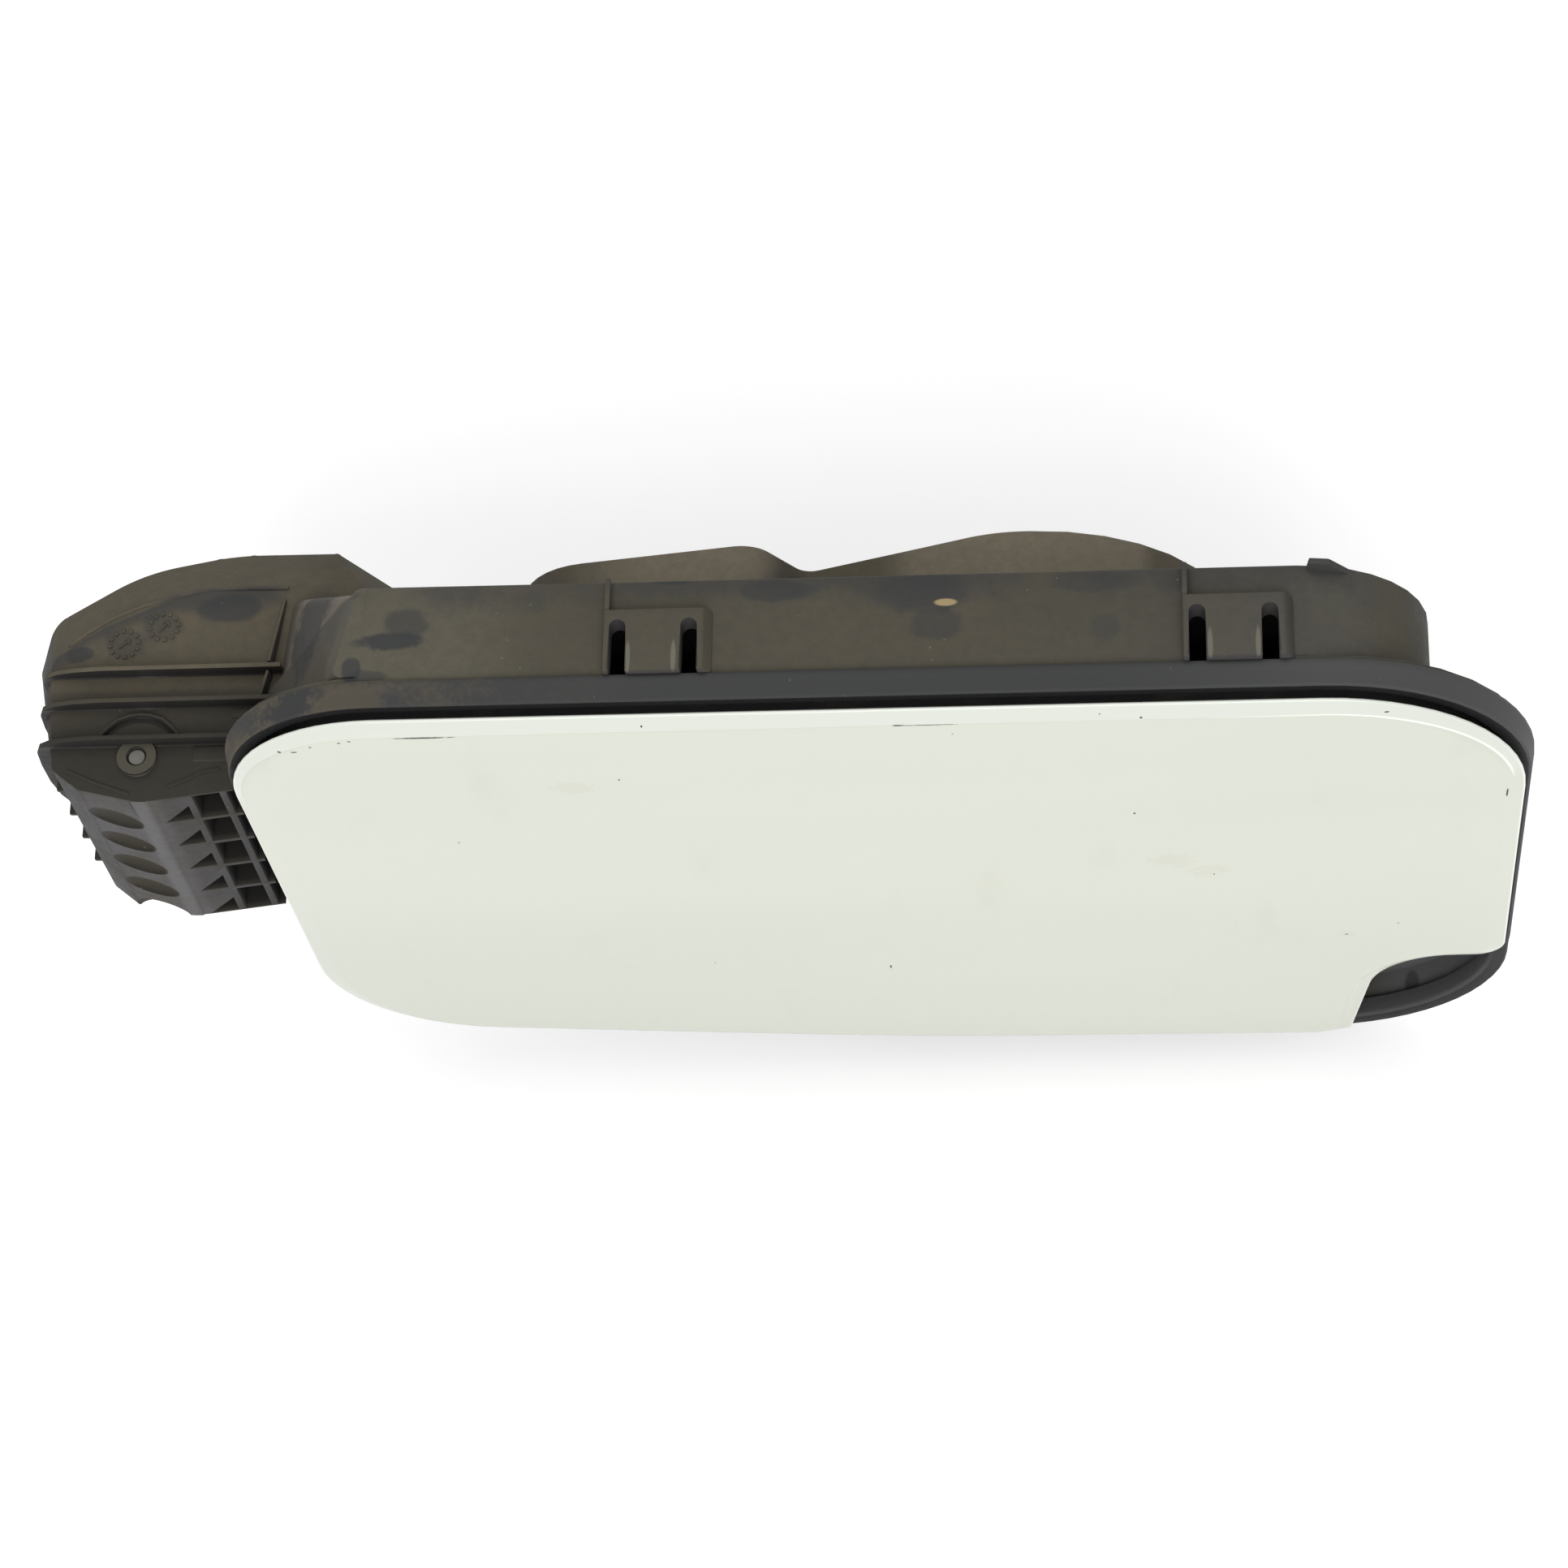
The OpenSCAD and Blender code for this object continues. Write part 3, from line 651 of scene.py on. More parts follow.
@dataclass(frozen=True)
class WornSteel:
    """Dull steel with turning marks and a trace of rust."""

    name: str
    steel: Colour = (0.36, 0.34, 0.29)
    rust: Colour = (0.17, 0.09, 0.045)
    amount: float = 0.5
    metal: float = 0.85

    def build(self) -> Material:
        """Returns the material."""
        graph = NodeGraph(self.name, self.steel)
        lines = graph.noise(500, 3, stretch=(1, 1, 14))
        rusty = graph.noise(300, 4).step(0.5, 0.7) * self.amount
        graph.cover(lines * 0.4, self.rust)
        graph.cover(rusty, self.rust)
        graph.bump(lines, 0.05 * MM)
        return graph.finish(Roughness=0.38 + rusty * 0.4, Metallic=(1 - rusty) * self.metal)


Plane = tuple[Vector, float, Vector]  # a face's normal, its offset along it and its middle


class Form:
    """Ways to make and place the meshes of the pieces."""

    weld = 0.002 * MM
    flat = math.radians(0.5)
    corner = math.radians(35.0)
    room = 2.3  # least width of a face beside a rounded edge, in widths of the rounding
    rounds = 4

    @staticmethod
    def piece(name: str, verts: Iterable[Sequence[float]],
              faces: Iterable[Sequence[int]]) -> Object:
        """Makes a piece from points in millimetres, with its faces turned outwards.

        Args:
            name: The piece's name.
            verts: Its points.
            faces: Its faces, as numbers of points.

        Returns:
            The new object.
        """
        mesh = bpy.data.meshes.new(name)
        mesh.from_pydata([[c * MM for c in v] for v in verts], [], list(faces))
        mesh.validate()
        piece = bpy.data.objects.new(name, mesh)
        bpy.context.collection.objects.link(piece)
        form = bmesh.new()
        form.from_mesh(mesh)
        bmesh.ops.recalc_face_normals(form, faces=form.faces)
        form.to_mesh(mesh)
        form.free()
        return piece

    @staticmethod
    def split_caps(piece: Object) -> None:
        """Splits the faces with many corners into even triangles."""
        form = bmesh.new()
        form.from_mesh(piece.data)
        caps = [face for face in form.faces if len(face.verts) > 4]
        bmesh.ops.triangulate(form, faces=caps, ngon_method="BEAUTY")
        form.to_mesh(piece.data)
        form.free()

    @staticmethod
    def smooth(piece: Object, angle: float = 32.0) -> None:
        """Shades a piece smoothly, except over edges sharper than an angle in degrees."""
        form = bmesh.new()
        form.from_mesh(piece.data)
        limit = math.radians(angle)
        for face in form.faces:
            face.smooth = True
        for edge in form.edges:
            edge.smooth = len(edge.link_faces) == 2 and edge.calc_face_angle(0.0) < limit
        form.to_mesh(piece.data)
        form.free()

    @staticmethod
    def band(name: str, rings: Sequence[Sequence[Point3]],
             gap: int | None = None) -> Object:
        """Joins rings of points into a skin, the last ring to the first.

        Args:
            name: The piece's name.
            rings: Rings with equally many points each.
            gap: A ring that isn't joined to the next one; each gets a flat face instead.

        Returns:
            The new object.
        """
        count = len(rings[0])
        faces: list[tuple[int, ...]] = []
        for j in range(len(rings)):
            here, there = j * count, (j + 1) % len(rings) * count
            for i in range(count):
                k = (i + 1) % count
                if j != gap:
                    faces.append((here + i, here + k, there + k, there + i))
        if gap is not None:
            after = (gap + 1) % len(rings)
            faces.append(tuple(gap * count + i for i in range(count)))
            faces.append(tuple(after * count + i for i in reversed(range(count))))
        return Form.piece(name, [point for ring in rings for point in ring], faces)

    @staticmethod
    def crossed(form: BMesh) -> list[Plane]:
        """Finds the faces whose outline has come to cross itself.

        Args:
            form: The mesh.

        Returns:
            The normal, the offset and the middle of each such face.
        """
        form.faces.index_update()
        filled = [0.0] * len(form.faces)
        for a, b, c in form.calc_loop_triangles():
            sides = b.vert.co - a.vert.co, c.vert.co - a.vert.co
            filled[a.face.index] += sides[0].cross(sides[1]).length / 2
        return [(face.normal.copy(), face.normal.dot(face.verts[0].co), face.calc_center_median())
                for face in form.faces if len(face.verts) > 4
                and filled[face.index] > face.calc_area() * 1.005 + 0.01 * MM * MM]

    @staticmethod
    def rounded_copy(node: Object, width: float,
                     kept: Sequence[Plane]) -> BMesh:
        """Copies a CAD node's mesh with rounded outer edges.

        Args:
            node: The CAD node.
            width: Width of the rounding.
            kept: Faces that keep their edges sharp.

        Returns:
            The new mesh.
        """
        form = bmesh.new()
        form.from_mesh(node.data)
        bmesh.ops.remove_doubles(form, verts=form.verts, dist=Form.weld)
        bmesh.ops.dissolve_limit(form, angle_limit=Form.flat, verts=form.verts, edges=form.edges)
        form.faces.index_update()
        roomy = []
        for face in form.faces:
            across = face.calc_area() / max(e.calc_length() for e in face.edges)
            place, middle = face.normal.dot(face.verts[0].co), face.calc_center_median()
            reach = 0.3 * math.sqrt(face.calc_area()) + 2.0 * MM
            sharp = any(face.normal.dot(normal) > 0.999 and abs(place - offset) < 0.05 * MM
                        and (middle - centre).length < reach for normal, offset, centre in kept)
            roomy.append(across > Form.room * width * MM and not sharp)
        edges = [e for e in form.edges
                 if len(e.link_faces) == 2 and e.calc_face_angle_signed(0.0) > Form.corner
                 and e.calc_length() > 2 * width * MM and all(roomy[f.index] for f in e.link_faces)]
        bmesh.ops.bevel(form, geom=edges, offset=width * MM, offset_type="OFFSET", segments=2,
                        profile=0.5, affect="EDGES", clamp_overlap=False)
        return form

    @staticmethod
    def softened(name: str, node: Object, width: float) -> Object:
        """Copies a CAD node into a new piece with rounded outer edges.

        Args:
            name: The new piece's name.
            node: The CAD node.
            width: Width of the rounding.

        Returns:
            The new object.
        """
        kept: list[Plane] = []
        for _ in range(Form.rounds):
            form = Form.rounded_copy(node, width, kept)
            crossed = Form.crossed(form)
            if not crossed:
                break
            kept += crossed
            log.info("%s: %d crossed faces", name, len(crossed))
        mesh = bpy.data.meshes.new(name)
        form.to_mesh(mesh)
        form.free()
        piece = bpy.data.objects.new(name, mesh)
        bpy.context.collection.objects.link(piece)
        Form.smooth(piece)
        return piece

    @staticmethod
    def dress(piece: Object, body: Body, slot: str, material: Material,
              *nodes: str) -> None:
        """Gives a piece its material and body.

        Args:
            piece: The piece.
            body: The body that it rides on.
            slot: The name of a material slot; not used.
            material: Its material.
            nodes: CAD nodes that it stands for.
        """
        piece.data.materials.clear()
        piece.data.materials.append(material)
        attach(piece, body.value)
        if nodes:
            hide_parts(*nodes)
        log.info("made %s on %s", piece.name, body.value)


@dataclass
class Outline:
    """A closed outline of rounded corners, seen from the front.

    The methods before points() take each point as the complex number x + z j.

    Args:
        corners: x, z and radius of each corner.
        steps: Number of steps round each corner.
        least: The least radius.
    """

    corners: tuple[Point3, ...]
    steps: int = 14
    least: float = 0.4

    @staticmethod
    def _unit(a: complex, b: complex) -> complex:
        """Returns the direction from a to b."""
        return (b - a) / abs(b - a)

    def _moved(self, a: complex, b: complex, c: complex, grow: float) -> complex:
        """Returns corner b with its two edges moved outwards by grow."""
        u, v = self._unit(a, b), self._unit(b, c)
        gap = 1j * (u - v) * grow
        slide = (gap.conjugate() * v).imag / (u.conjugate() * v).imag
        return b - 1j * u * grow + u * slide

    def _rounded(self, a: complex, b: complex, c: complex, radius: float,
                 grow: float) -> list[complex]:
        """Returns the points of the round that replaces corner b."""
        u, v = self._unit(a, b), self._unit(b, c)
        turn = cmath.phase(u.conjugate() * v)
        side = math.copysign(1.0, turn)
        radius = max(radius + grow * side, self.least)
        start = b - u * radius * math.tan(abs(turn) / 2)
        centre = start + 1j * u * side * radius
        return [centre + (start - centre) * cmath.rect(1.0, turn * i / self.steps)
                for i in range(self.steps + 1)]

    def points(self, grow: float = 0.0, spacing: float = 6.0) -> list[Point]:
        """Returns the outline moved outwards by grow.

        Args:
            grow: Distance to move each edge outwards.
            spacing: Straight runs are split into steps of about this length.

        Returns:
            The points, with the same count for any grow.
        """
        count = len(self.corners)
        flat = [complex(x, z) for x, z, _ in self.corners]
        radii = [radius for _, _, radius in self.corners]
        after = [(i + 1) % count for i in range(count)]
        moved = [self._moved(flat[i - 1], flat[i], flat[after[i]], grow) for i in range(count)]
        rounds = [self._rounded(moved[i - 1], moved[i], moved[after[i]], radii[i], grow)
                  for i in range(count)]
        base = [self._rounded(flat[i - 1], flat[i], flat[after[i]], radii[i], 0.0)
                for i in range(count)]
        result: list[complex] = []
        for i in range(count):
            a, b = rounds[i][-1], rounds[after[i]][0]
            splits = max(1, round(abs(base[after[i]][0] - base[i][-1]) / spacing))
            result += rounds[i] + [a + (b - a) * k / splits for k in range(1, splits)]
        return [(point.real, point.imag) for point in result]


LEFT, RIGHT, TOP = -132.0, 132.0, 88.0

DOOR = Outline((
    (LEFT + 1.5, 17.6 - TOP, 39.0),
    (4.0, 3 - TOP, 600.0),
    (RIGHT - 40, 1.1 - TOP, 12.0),
    (RIGHT - 32.4, 4 - TOP, 0.8),
    (RIGHT - 26.7, 45.4 - TOP, 18.0),
    (RIGHT, 45.5 - TOP, 6.5),
    (RIGHT, TOP - 1, 42.0),
    (LEFT, TOP, 33.0),
))
OPENING = Outline((
    DOOR.corners[0], DOOR.corners[1], (RIGHT, -2.6 - TOP, 40.0), DOOR.corners[6], DOOR.corners[7],
))


@dataclass
class FlapSkin:
    """The painted outer skin, with its rolled edge and finger notch."""

    hem_back: float = 1.8
    hem_turn: float = 0.0
    hem_rise: float = 1.8
    crown: float = 1.6
    thickness: float = 1.2
    edge: tuple[Point, ...] = (
        (0.35, 0.0), (0.08, -0.05), (0.0, -0.2), (0.0, -0.42), (0.14, -0.6), (0.4, -0.75),
        (1.05, -1.0), (1.9, -1.3), (2.7, -1.55), (3.2, -1.7), (3.7, -1.77), (4.4, -1.8),
        (6.0, -1.8),
    )
    fold: float = 3.6
    face_inset: float = 6.0
    inner_inset: float = 8.0
    swell_from: float = 3.2
    spine: tuple[float, float] = (-55.0, 42.0)
    shares: tuple[float, ...] = (0.1, 0.22, 0.36, 0.52, 0.7, 0.84)

    def swell(self, x: float, z: float) -> float:
        """Returns how far the face swells at a place."""
        across = max(0.0, 1 - (x / RIGHT) ** 2)
        return self.crown * across * max(0.0, 1 - (z / TOP) ** 2)

    def toward_spine(self, points: Sequence[Point], share: float) -> list[Point]:
        """Moves an outline's points towards the line through the middle of the flap.

        Args:
            points: The outline.
            share: Part of the way that each point moves.

        Returns:
            The moved points.
        """
        moved = []
        for x, z in points:
            goal = min(max(x, self.spine[0]), self.spine[1])
            moved.append((x + (goal - x) * share, z * (1 - share)))
        return moved

    def rings(self) -> list[list[Point3]]:
        """Returns the rings of the skin, from its back edge over the face and back inside."""
        rings = []
        for inset, y in self.edge:
            ring = DOOR.points(-inset)
            lift = 1.0 if inset > self.swell_from else 0.0
            rings.append([(x, y - lift * self.swell(x, z), z) for x, z in ring])
        rim = DOOR.points(-self.face_inset)
        for share in self.shares:
            rings.append([(x, -self.hem_rise - self.swell(x, z), z)
                          for x, z in self.toward_spine(rim, share)])
        inner = DOOR.points(-self.inner_inset)
        for share in (*reversed(self.shares), 0.0):
            rings.append([(x, self.thickness - self.hem_rise - self.swell(x, z), z)
                          for x, z in self.toward_spine(inner, share)])
        rings.append([(x, self.hem_back, z) for x, z in inner])
        fold = DOOR.points(-self.fold)
        rings.append([(x, self.hem_back, z) for x, z in fold])
        rings.append([(x, self.hem_turn, z) for x, z in fold])
        return rings

    def build(self, paint: Material) -> None:
        """Makes the skin.

        Args:
            paint: The paint.
        """
        middle = len(self.edge) + len(self.shares) - 1
        skin = Form.band("flap_skin_painted", self.rings(), middle)
        Form.split_caps(skin)
        Form.smooth(skin, 50)
        Form.dress(skin, Body.FLAP, "flap_paint", paint, "flap_skin")


@dataclass
class WeatherSeal:
    """The rubber seal round the opening."""

    section: tuple[Point, ...] = (
        (-2.6, 6.75), (-2.6, 3.5), (-2.3, 2.9), (-1.5, 2.42), (0.2, 2.3), (0.8, 2.26), (1.3, 2.7),
        (1.62, 4.9), (1.93, 5.9), (2.15, 6.6), (2.18, 7.3), (1.95, 7.76), (1.05, 7.8), (1.05, 5.2),
        (-1.25, 5.2), (-1.25, 6.75),
    )

    def build(self, rubber: Material) -> None:
        """Makes the seal.

        Args:
            rubber: The rubber.
        """
        rings = [[(x, y, z) for x, z in OPENING.points(grow)] for grow, y in self.section]
        seal = Form.band("weather_seal", rings)
        Form.smooth(seal, 38)
        Form.dress(seal, Body.HOUSING, "seal_rubber", rubber, "seal_lip")


@dataclass(frozen=True)
class Bead:
    """A low raised line on the housing.

    Args:
        name: Its name.
        path: The points of its foot.
        half: Half its width.
        high: Its height at its first and its last point.
        form: Its section, in half widths and heights.
        sunk: How far it reaches into the housing.
    """

    name: str
    path: tuple[Point3, ...]
    half: float = 0.5
    high: tuple[float, float] = (0.6, 0.6)
    form: tuple[Point, ...] = (
        (1.0, 0.0), (0.8, 0.7), (0.45, 1.0), (-0.45, 1.0), (-0.8, 0.7), (-1.0, 0.0),
    )
    sunk: float = 0.3

    def build(self, plastic: Material) -> None:
        """Makes the raised line.

        Args:
            plastic: The housing's plastic.
        """
        last = len(self.path) - 1
        rings: list[list[Point3]] = []
        for i, (x, y, z) in enumerate(self.path):
            before, after = self.path[max(0, i - 1)], self.path[min(last, i + 1)]
            run_x, run_y = after[0] - before[0], after[1] - before[1]
            reach = self.half / math.hypot(run_x, run_y)
            high = self.high[0] + (self.high[1] - self.high[0]) * i / last
            rings.append([(x - run_y * reach * side, y + run_x * reach * side,
                           z + (high * rise if rise else -self.sunk)) for side, rise in self.form])
        piece = Form.band(self.name, rings, last)
        Form.smooth(piece, 35)
        Form.dress(piece, Body.HOUSING, "housing_plastic", plastic)


@dataclass(frozen=True)
class DateMark:
    """A mould date mark on the lid: plain ticks round an arrow.

    Args:
        name: Its name.
        centre: Its middle.
        turn: The arrow's direction, in radians.
    """

    name: str
    centre: Point
    turn: float
    radius: float = 3.1
    ticks: int = 12
    first_tick: float = 0.13
    tick: Point = (0.9, 0.8)  # length and width, as for the shaft and the barbs
    shaft: Point = (3.2, 0.42)
    barb: Point = (1.2, 0.4)
    barb_place: Point = (1.1, 0.4)  # along the shaft and beside it
    barb_turn: float = 0.7
    levels: tuple[Point, ...] = ((1.0, -0.1), (1.0, 0.26), (0.6, 0.36))  # size and height

    def block(self, place: complex, size: Point, turn: float) -> list[Point3]:
        """Places the corners of a small raised block.

        Args:
            place: Its place from the mark's middle.
            size: Its length and width.
            turn: Its direction, in radians.

        Returns:
            Four corners for each level.
        """
        corners = []
        for share, rise in self.levels:
            for along, beside in ((-1, -1), (1, -1), (1, 1), (-1, 1)):
                corner = complex(along * size[0], beside * size[1]) / 2 * share
                spot = complex(*self.centre) + place + corner * cmath.rect(1.0, turn)
                corners.append((spot.real, spot.imag, LID_Z + rise))
        return corners

    def build(self, plastic: Material) -> None:
        """Makes the mark.

        Args:
            plastic: The housing's plastic.
        """
        verts: list[Point3] = []
        for i in range(self.ticks):
            turn = i * 2 * math.pi / self.ticks + self.first_tick
            verts += self.block(cmath.rect(self.radius, turn), self.tick, turn)
        verts += self.block(0j, self.shaft, self.turn)
        for side in (-1, 1):
            place = complex(self.barb_place[0], side * self.barb_place[1])
            verts += self.block(place * cmath.rect(1.0, self.turn), self.barb,
                                self.turn - side * self.barb_turn)
        faces: list[tuple[int, ...]] = []
        for start in range(0, len(verts), 4 * len(self.levels)):
            for low in (start, start + 4):
                for i in range(4):
                    k = (i + 1) % 4
                    faces.append((low + i, low + k, low + k + 4, low + i + 4))
            faces.append(tuple(start + 8 + i for i in range(4)))
            faces.append(tuple(start + 3 - i for i in range(4)))
        mark = Form.piece(self.name, verts, faces)
        Form.dress(mark, Body.HOUSING, "housing_plastic", plastic)


@dataclass
class HousingShell:
    """The moulded housing, with softened edges and its mould marks."""

    edge: float = 0.35
    marks: tuple[DateMark, ...] = (
        DateMark("mould_date_mark_1", (-161.1, 41.5), 0.7),
        DateMark("mould_date_mark_2", (-152.8, 45.4), 0.9),
    )
    beads: tuple[Bead, ...] = ()

    def build(self, node: Object, plastic: Material) -> None:
        """Makes the shell and its marks.

        Args:
            node: The CAD node of the housing.
            plastic: The housing's plastic.
        """
        shell = Form.softened("housing_shell", node, self.edge)
        Form.dress(shell, Body.HOUSING, "housing_plastic", plastic, "housing")
        for trim in (*self.marks, *self.beads):
            trim.build(plastic)


@dataclass
class CarriedParts:
    """The small parts, whose CAD shapes are copied with softened edges."""

    nodes: dict[str, Object]

    def build(self, black: Material, rubber: Material, bush: Material, pin: Material,
              spring: Material) -> None:
        """Replaces each CAD node by a copy with softened edges.

        Args:
            black: Black plastic of the flap's inner parts.
            rubber: Rubber of the gaskets and stops.
            bush: Pale plastic of the arm's bushes.
            pin: Steel of the pin.
            spring: Steel of the spring.
        """
        stops = [f"bump_stop_{place}" for place in ("upper", "lower", "hinge_upper", "hinge_lower")]
        for names, body, slot, material, width in (
            (("flap_carrier", "latch_striker"), Body.FLAP, "black_plastic", black, 0.3),
            (("lock_bush",), Body.HOUSING, "black_plastic", black, 0.25),
            (("fuel_neck_gasket", "additive_neck_gasket"),
             Body.HOUSING, "gasket_rubber", rubber, 0.25),
            (stops, Body.FLAP, "gasket_rubber", rubber, 0.2),
            (("arm_bush_upper", "arm_bush_lower"), Body.FLAP, "bush_plastic", bush, 0.1),
            (("hinge_pin",), Body.HOUSING, "pin_steel", pin, 0.3),
            (("hold_open_spring",), Body.HOUSING, "spring_steel", spring, 0.02),
        ):
            for name in names:
                piece = Form.softened(f"{name}_soft", self.nodes[name], width)
                Form.dress(piece, body, slot, material, name)


@dataclass(frozen=True)
class Lamp:
    """A square soft light that faces the origin.

    Args:
        name: Its name.
        place: Its place in metres.
        size: Its side in metres.
        power: Its power in watts.
    """

    name: str
    place: Point3
    size: float
    power: float

    def build(self) -> None:
        """Makes the light."""
        data = bpy.data.lights.new(self.name, "AREA")
        data.size = self.size
        data.energy = self.power
        lamp = bpy.data.objects.new(self.name, data)
        lamp.location = self.place
        lamp.rotation_mode = "QUATERNION"
        lamp.rotation_quaternion = Vector(self.place).to_track_quat("Z", "Y")
        bpy.context.collection.objects.link(lamp)


@dataclass
class Studio:
    """Camera, floor and light, in metres, with the focal length in pixels of the picture."""

    camera_place: Point3 = (0.0645, -0.3990, 0.9062)
    right: Point3 = (0.99587, 0.01581, -0.08944)
    up: Point3 = (0.02349, 0.90643, 0.42171)
    focal: float = 5700.0
    picture: float = 1932.0
    sensor: float = 36.0
    clip: tuple[float, float] = (0.05, 20.0)
    floor_half: float = 4.0
    floor_gap: float = 0.0004
    pale: Colour = (0.93, 0.93, 0.93)
    white: Colour = (1.0, 1.0, 1.0)
    sky: float = 0.62
    lamps: tuple[Lamp, ...] = (
        Lamp("key", (0.1, -1.3, 1.2), 1.2, 22.0),
        Lamp("top", (-0.3, 0.6, 1.7), 1.6, 12.0),
    )

    def camera(self) -> None:
        """Makes the camera at the viewing angle of the photograph."""
        data = bpy.data.cameras.new("camera")
        data.sensor_width = self.sensor
        data.lens = self.sensor * self.focal / self.picture
        data.clip_start, data.clip_end = self.clip
        camera = bpy.data.objects.new("camera", data)
        right, up = Vector(self.right).normalized(), Vector(self.up)
        back = right.cross(up).normalized()
        up = back.cross(right)
        turn = Matrix((right, up, back)).transposed().to_4x4()
        camera.matrix_world = Matrix.Translation(self.camera_place) @ turn
        bpy.context.collection.objects.link(camera)
        bpy.context.scene.camera = camera

    def floor(self, level: float) -> None:
        """Makes the floor.

        Args:
            level: Its height in metres.
        """
        half = self.floor_half / MM
        z = level / MM
        verts = [(-half, -half, z), (half, -half, z), (half, half, z), (-half, half, z)]
        floor = Form.piece("floor", verts, [(0, 1, 2, 3)])
        graph = NodeGraph("pale_floor", self.pale)
        floor.data.materials.append(graph.finish(
            Roughness=0.8, Emission_Color=self.white, Emission_Strength=0.15,
        ))
        floor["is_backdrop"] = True

    def light(self) -> None:
        """Makes the soft studio light."""
        world = bpy.data.worlds.new("studio")
        world.use_nodes = True
        background = world.node_tree.nodes["Background"]
        background.inputs["Color"].default_value = (*self.white, 1.0)
        background.inputs["Strength"].default_value = self.sky
        bpy.context.scene.world = world
        for lamp in self.lamps:
            lamp.build()
        bpy.context.scene.view_settings.view_transform = "Standard"

    def build(self, lowest: float) -> None:
        """Makes the whole studio.

        Args:
            lowest: Height of the model's lowest point in metres.
        """
        self.camera()
        self.floor(lowest - self.floor_gap)
        self.light()


def on_lid(*places: Point) -> tuple[Point3, ...]:
    """Lifts places onto the top of the compartment's lid.

    Args:
        places: The places.

    Returns:
        The places in space.
    """
    return tuple((x, y, LID_Z) for x, y in places)


RUBBED = (0.030, 0.032, 0.034)
TAN = (0.30, 0.235, 0.125)
# grey of the finger cup, lightened as painted light against the shade inside it
CUP_PAINTED_LIGHT = (0.090, 0.091, 0.093)
MARK = (0.012, 0.012, 0.013)
PALE = (0.125, 0.118, 0.096)
SLOT_RIBS = ((-46.4, 10.6), (-37.3, 10.6), (68.8, 10.2), (78.2, 10.2))
SHELF_RUBS = (
    (-95.0, 16.8, 7.5, 1.9, 0.9, 3.6), (-91.5, 20.5, 4.5, 3.2, 0.6, 2.4),
    (-102.6, 11.0, 1.8, 2.4, 0.8, 3.6), (-99.5, 9.2, 3.5, 1.2, 0.6, 3.6),
    (-38.5, 28.6, 4.0, 0.7, 0.7, 3.6), (-16.6, 26.2, 7.5, 2.4, 0.65, 2.5),
    (11.0, 25.0, 10.0, 4.6, 0.7, 2.4), (14.5, 18.0, 5.0, 3.5, 0.5, 2.4),
    (46.0, 26.5, 8.0, 2.5, 0.45, 2.5), (48.0, 16.0, 2.5, 3.0, 0.3, 2.0),
)
BLOTS = (
    Blot((-116.5, 36.0, 61.0), (8.5, 11.5, 17.0), RUBBED, 0.8),
    *(Blot((x, y, 89.0), (wide, deep, 6.0), RUBBED, strength, ragged)
      for x, y, wide, deep, strength, ragged in SHELF_RUBS),
    Blot((16.6, 22.6, 88.0), (2.2, 0.8, 6.0), TAN, 0.9, 0.6),
    Blot((-138.5, 49.6, LID_Z), (6.5, 3.4, 3.0), RUBBED, 0.75, 2.2),
    Blot((-170.5, 39.3, LID_Z), (3.4, 1.8, 3.0), RUBBED, 0.8),
    Blot((-161.1, 41.5, LID_Z), (4.2, 4.0, 1.5), RUBBED, 0.4),
    Blot((-152.8, 45.4, LID_Z), (4.2, 4.0, 1.5), RUBBED, 0.4),
    *(Blot((x, y, 91.4), (0.5, 3.6, 1.5), PALE, 0.75, 0.5) for x, y in SLOT_RIBS),
    # painted light in the finger cup
    Blot((119.0, 11.0, -62.0), (24.0, 22.0, 28.0), CUP_PAINTED_LIGHT, 1.0, 0.2),
    Blot((113.7, 8.4, -80.9), (1.8, 3.2, 2.0), MARK, 0.55, 1.2),
)
BEADS = (
    Bead("lid_back_bead", (
        (-173.2, 41.8, 41.3), (-169.0, 45.4, 41.0), (-164.3, 48.4, 40.9), (-158.0, 51.1, 41.0),
        (-150.7, 52.8, 41.7), (-143.3, 54.0, 42.0), *on_lid((-134.8, 54.1), (-126.4, 53.9)),
    ), 0.5, (0.5, 0.5)),
    Bead("lid_rib_thin", on_lid((-127.0, 50.8), (-129.0, 35.2)), 0.55, (0.7, 3.0)),
    Bead("lid_rib_short", on_lid((-129.1, 33.0), (-130.6, 26.8)), 0.6, (3.0, 2.6)),
    Bead("lid_pad_1", on_lid((-136.4, 28.9), (-130.8, 28.9)), 1.8, (0.5, 0.5)),
    Bead("lid_pad_2", on_lid((-136.6, 24.4), (-130.6, 24.4)), 1.3, (0.5, 0.5)),
    Bead("lid_pad_3", on_lid((-144.3, 15.2), (-136.4, 15.2)), 1.9, (0.5, 0.5)),
    Bead("lid_arch", on_lid(
        (-164.6, 19.6), (-163.1, 21.4), (-161.0, 23.2), (-158.6, 24.1), (-156.2, 24.4),
        (-153.8, 24.1), (-151.4, 23.2), (-149.3, 21.4), (-147.8, 19.6),
    ), 0.6, (1.0, 1.0)),
    Bead("lid_front_line_1", on_lid(
        (-171.2, 12.0), (-164.4, 8.8), (-157.4, 6.2),
    ), 0.35, (0.4, 0.4)),
    Bead("lid_front_line_2", on_lid(
        (-149.6, 7.6), (-145.6, 9.2), (-142.3, 10.9), (-138.6, 11.6),
    ), 0.35, (0.4, 0.4)),
)
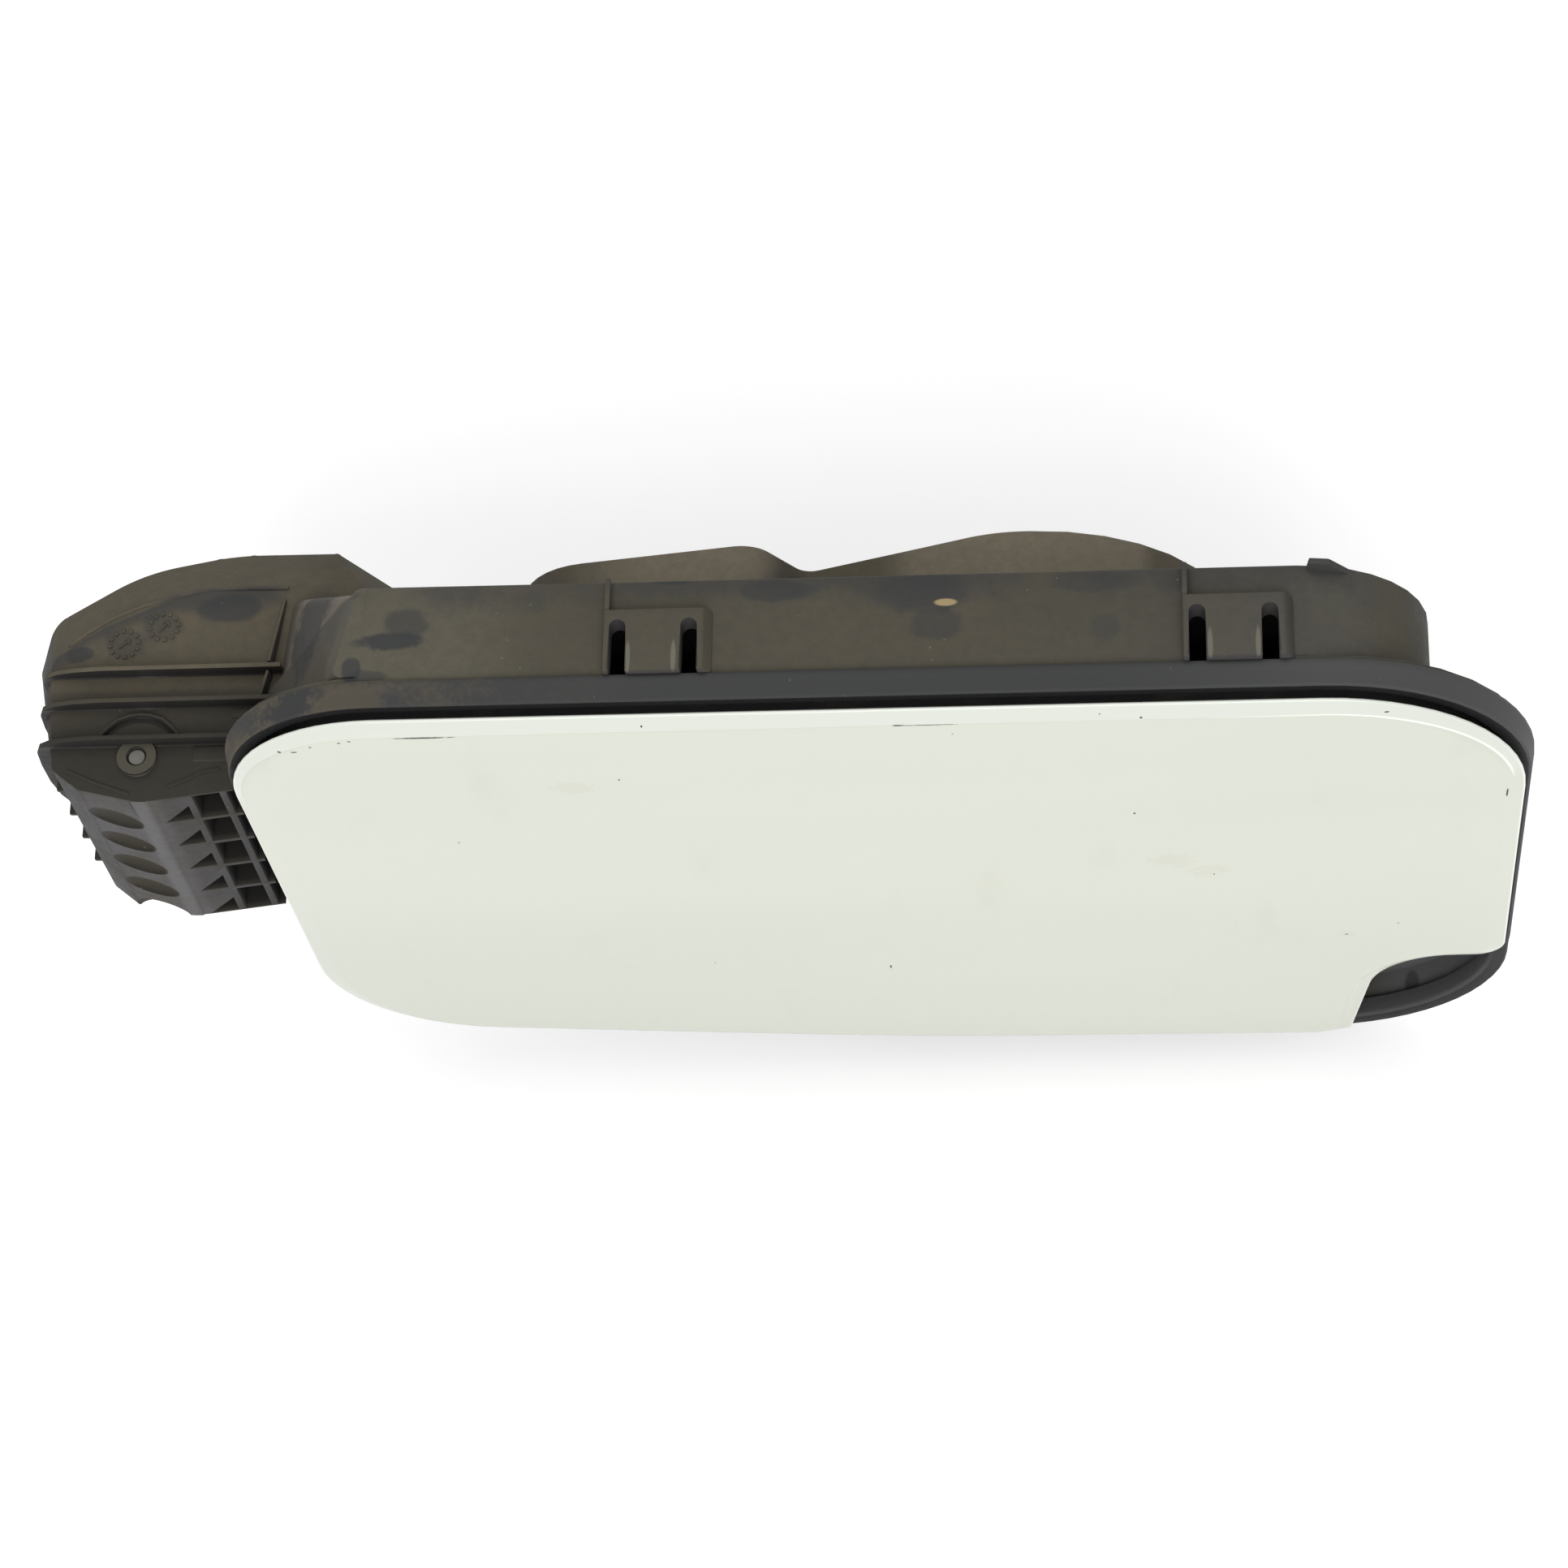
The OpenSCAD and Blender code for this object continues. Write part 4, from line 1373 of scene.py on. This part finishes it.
SCRATCHES = (
    (-88.3, 82.9, 6.3, 0.3), (7.0, 83.4, 1.2, 0.25), (128.3, 45.1, 0.22, 1.8),
    (54.9, 83.9, 0.26, 0.24), (-2.7, -36.8, 0.22, 0.9), (-115.3, 77.7, 0.7, 0.3),
    (-103.3, 82.0, 0.4, 0.25), (103.0, 82.9, 0.45, 0.2), (-105.5, 81.4, 0.4, 0.25),
    (68.8, 9.6, 0.15, 0.5), (-111.6, 79.8, 0.3, 0.25), (97.2, -25.3, 0.4, 0.2),
    (13.0, 83.3, 6.0, 0.13), (46.8, 85.2, 0.14, 0.22), (-118.3, 77.5, 0.4, 0.25),
    (-51.2, 62.3, 0.2, 0.3), (52.7, 41.1, 0.2, 0.5), (108.3, -20.0, 0.3, 0.2),
    (-41.4, -32.7, 0.2, 0.2), (-44.0, 85.0, 0.2, 0.3),
)
SCUFFS = (
    (-61.0, 58.9, 4.5, 2.6), (60.2, 17.5, 5.0, 3.4), (68.0, 11.5, 4.0, 2.6),
    (97.2, -25.0, 2.0, 1.6),
)


def main() -> None:
    """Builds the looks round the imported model."""
    logging.basicConfig(level=logging.INFO, format="%(name)s: %(message)s")
    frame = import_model()
    cad_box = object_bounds()
    nodes = frame["nodes"]

    Studio().build(cad_box[0].z)
    plastic = DustyPlastic(blots=BLOTS).build()
    FlapSkin().build(FlapPaint(scratches=SCRATCHES, scuffs=SCUFFS).build())
    WeatherSeal().build(SealRubber().build())
    HousingShell(beads=BEADS).build(nodes["housing"], plastic)
    CarriedParts(nodes).build(
        MouldedPlastic("black_plastic", (0.03, 0.03, 0.031)).build(),
        MouldedPlastic("gasket_rubber", (0.022, 0.022, 0.023), rough=0.7).build(),
        MouldedPlastic("bush_plastic", (0.62, 0.60, 0.50), rough=0.4, amount=0.2).build(),
        WornSteel("pin_steel", (0.085, 0.083, 0.068), rust=(0.06, 0.052, 0.040), metal=0.0).build(),
        WornSteel("spring_steel", (0.40, 0.40, 0.38), amount=0.2).build(),
    )


if __name__ == "__main__":
    main()
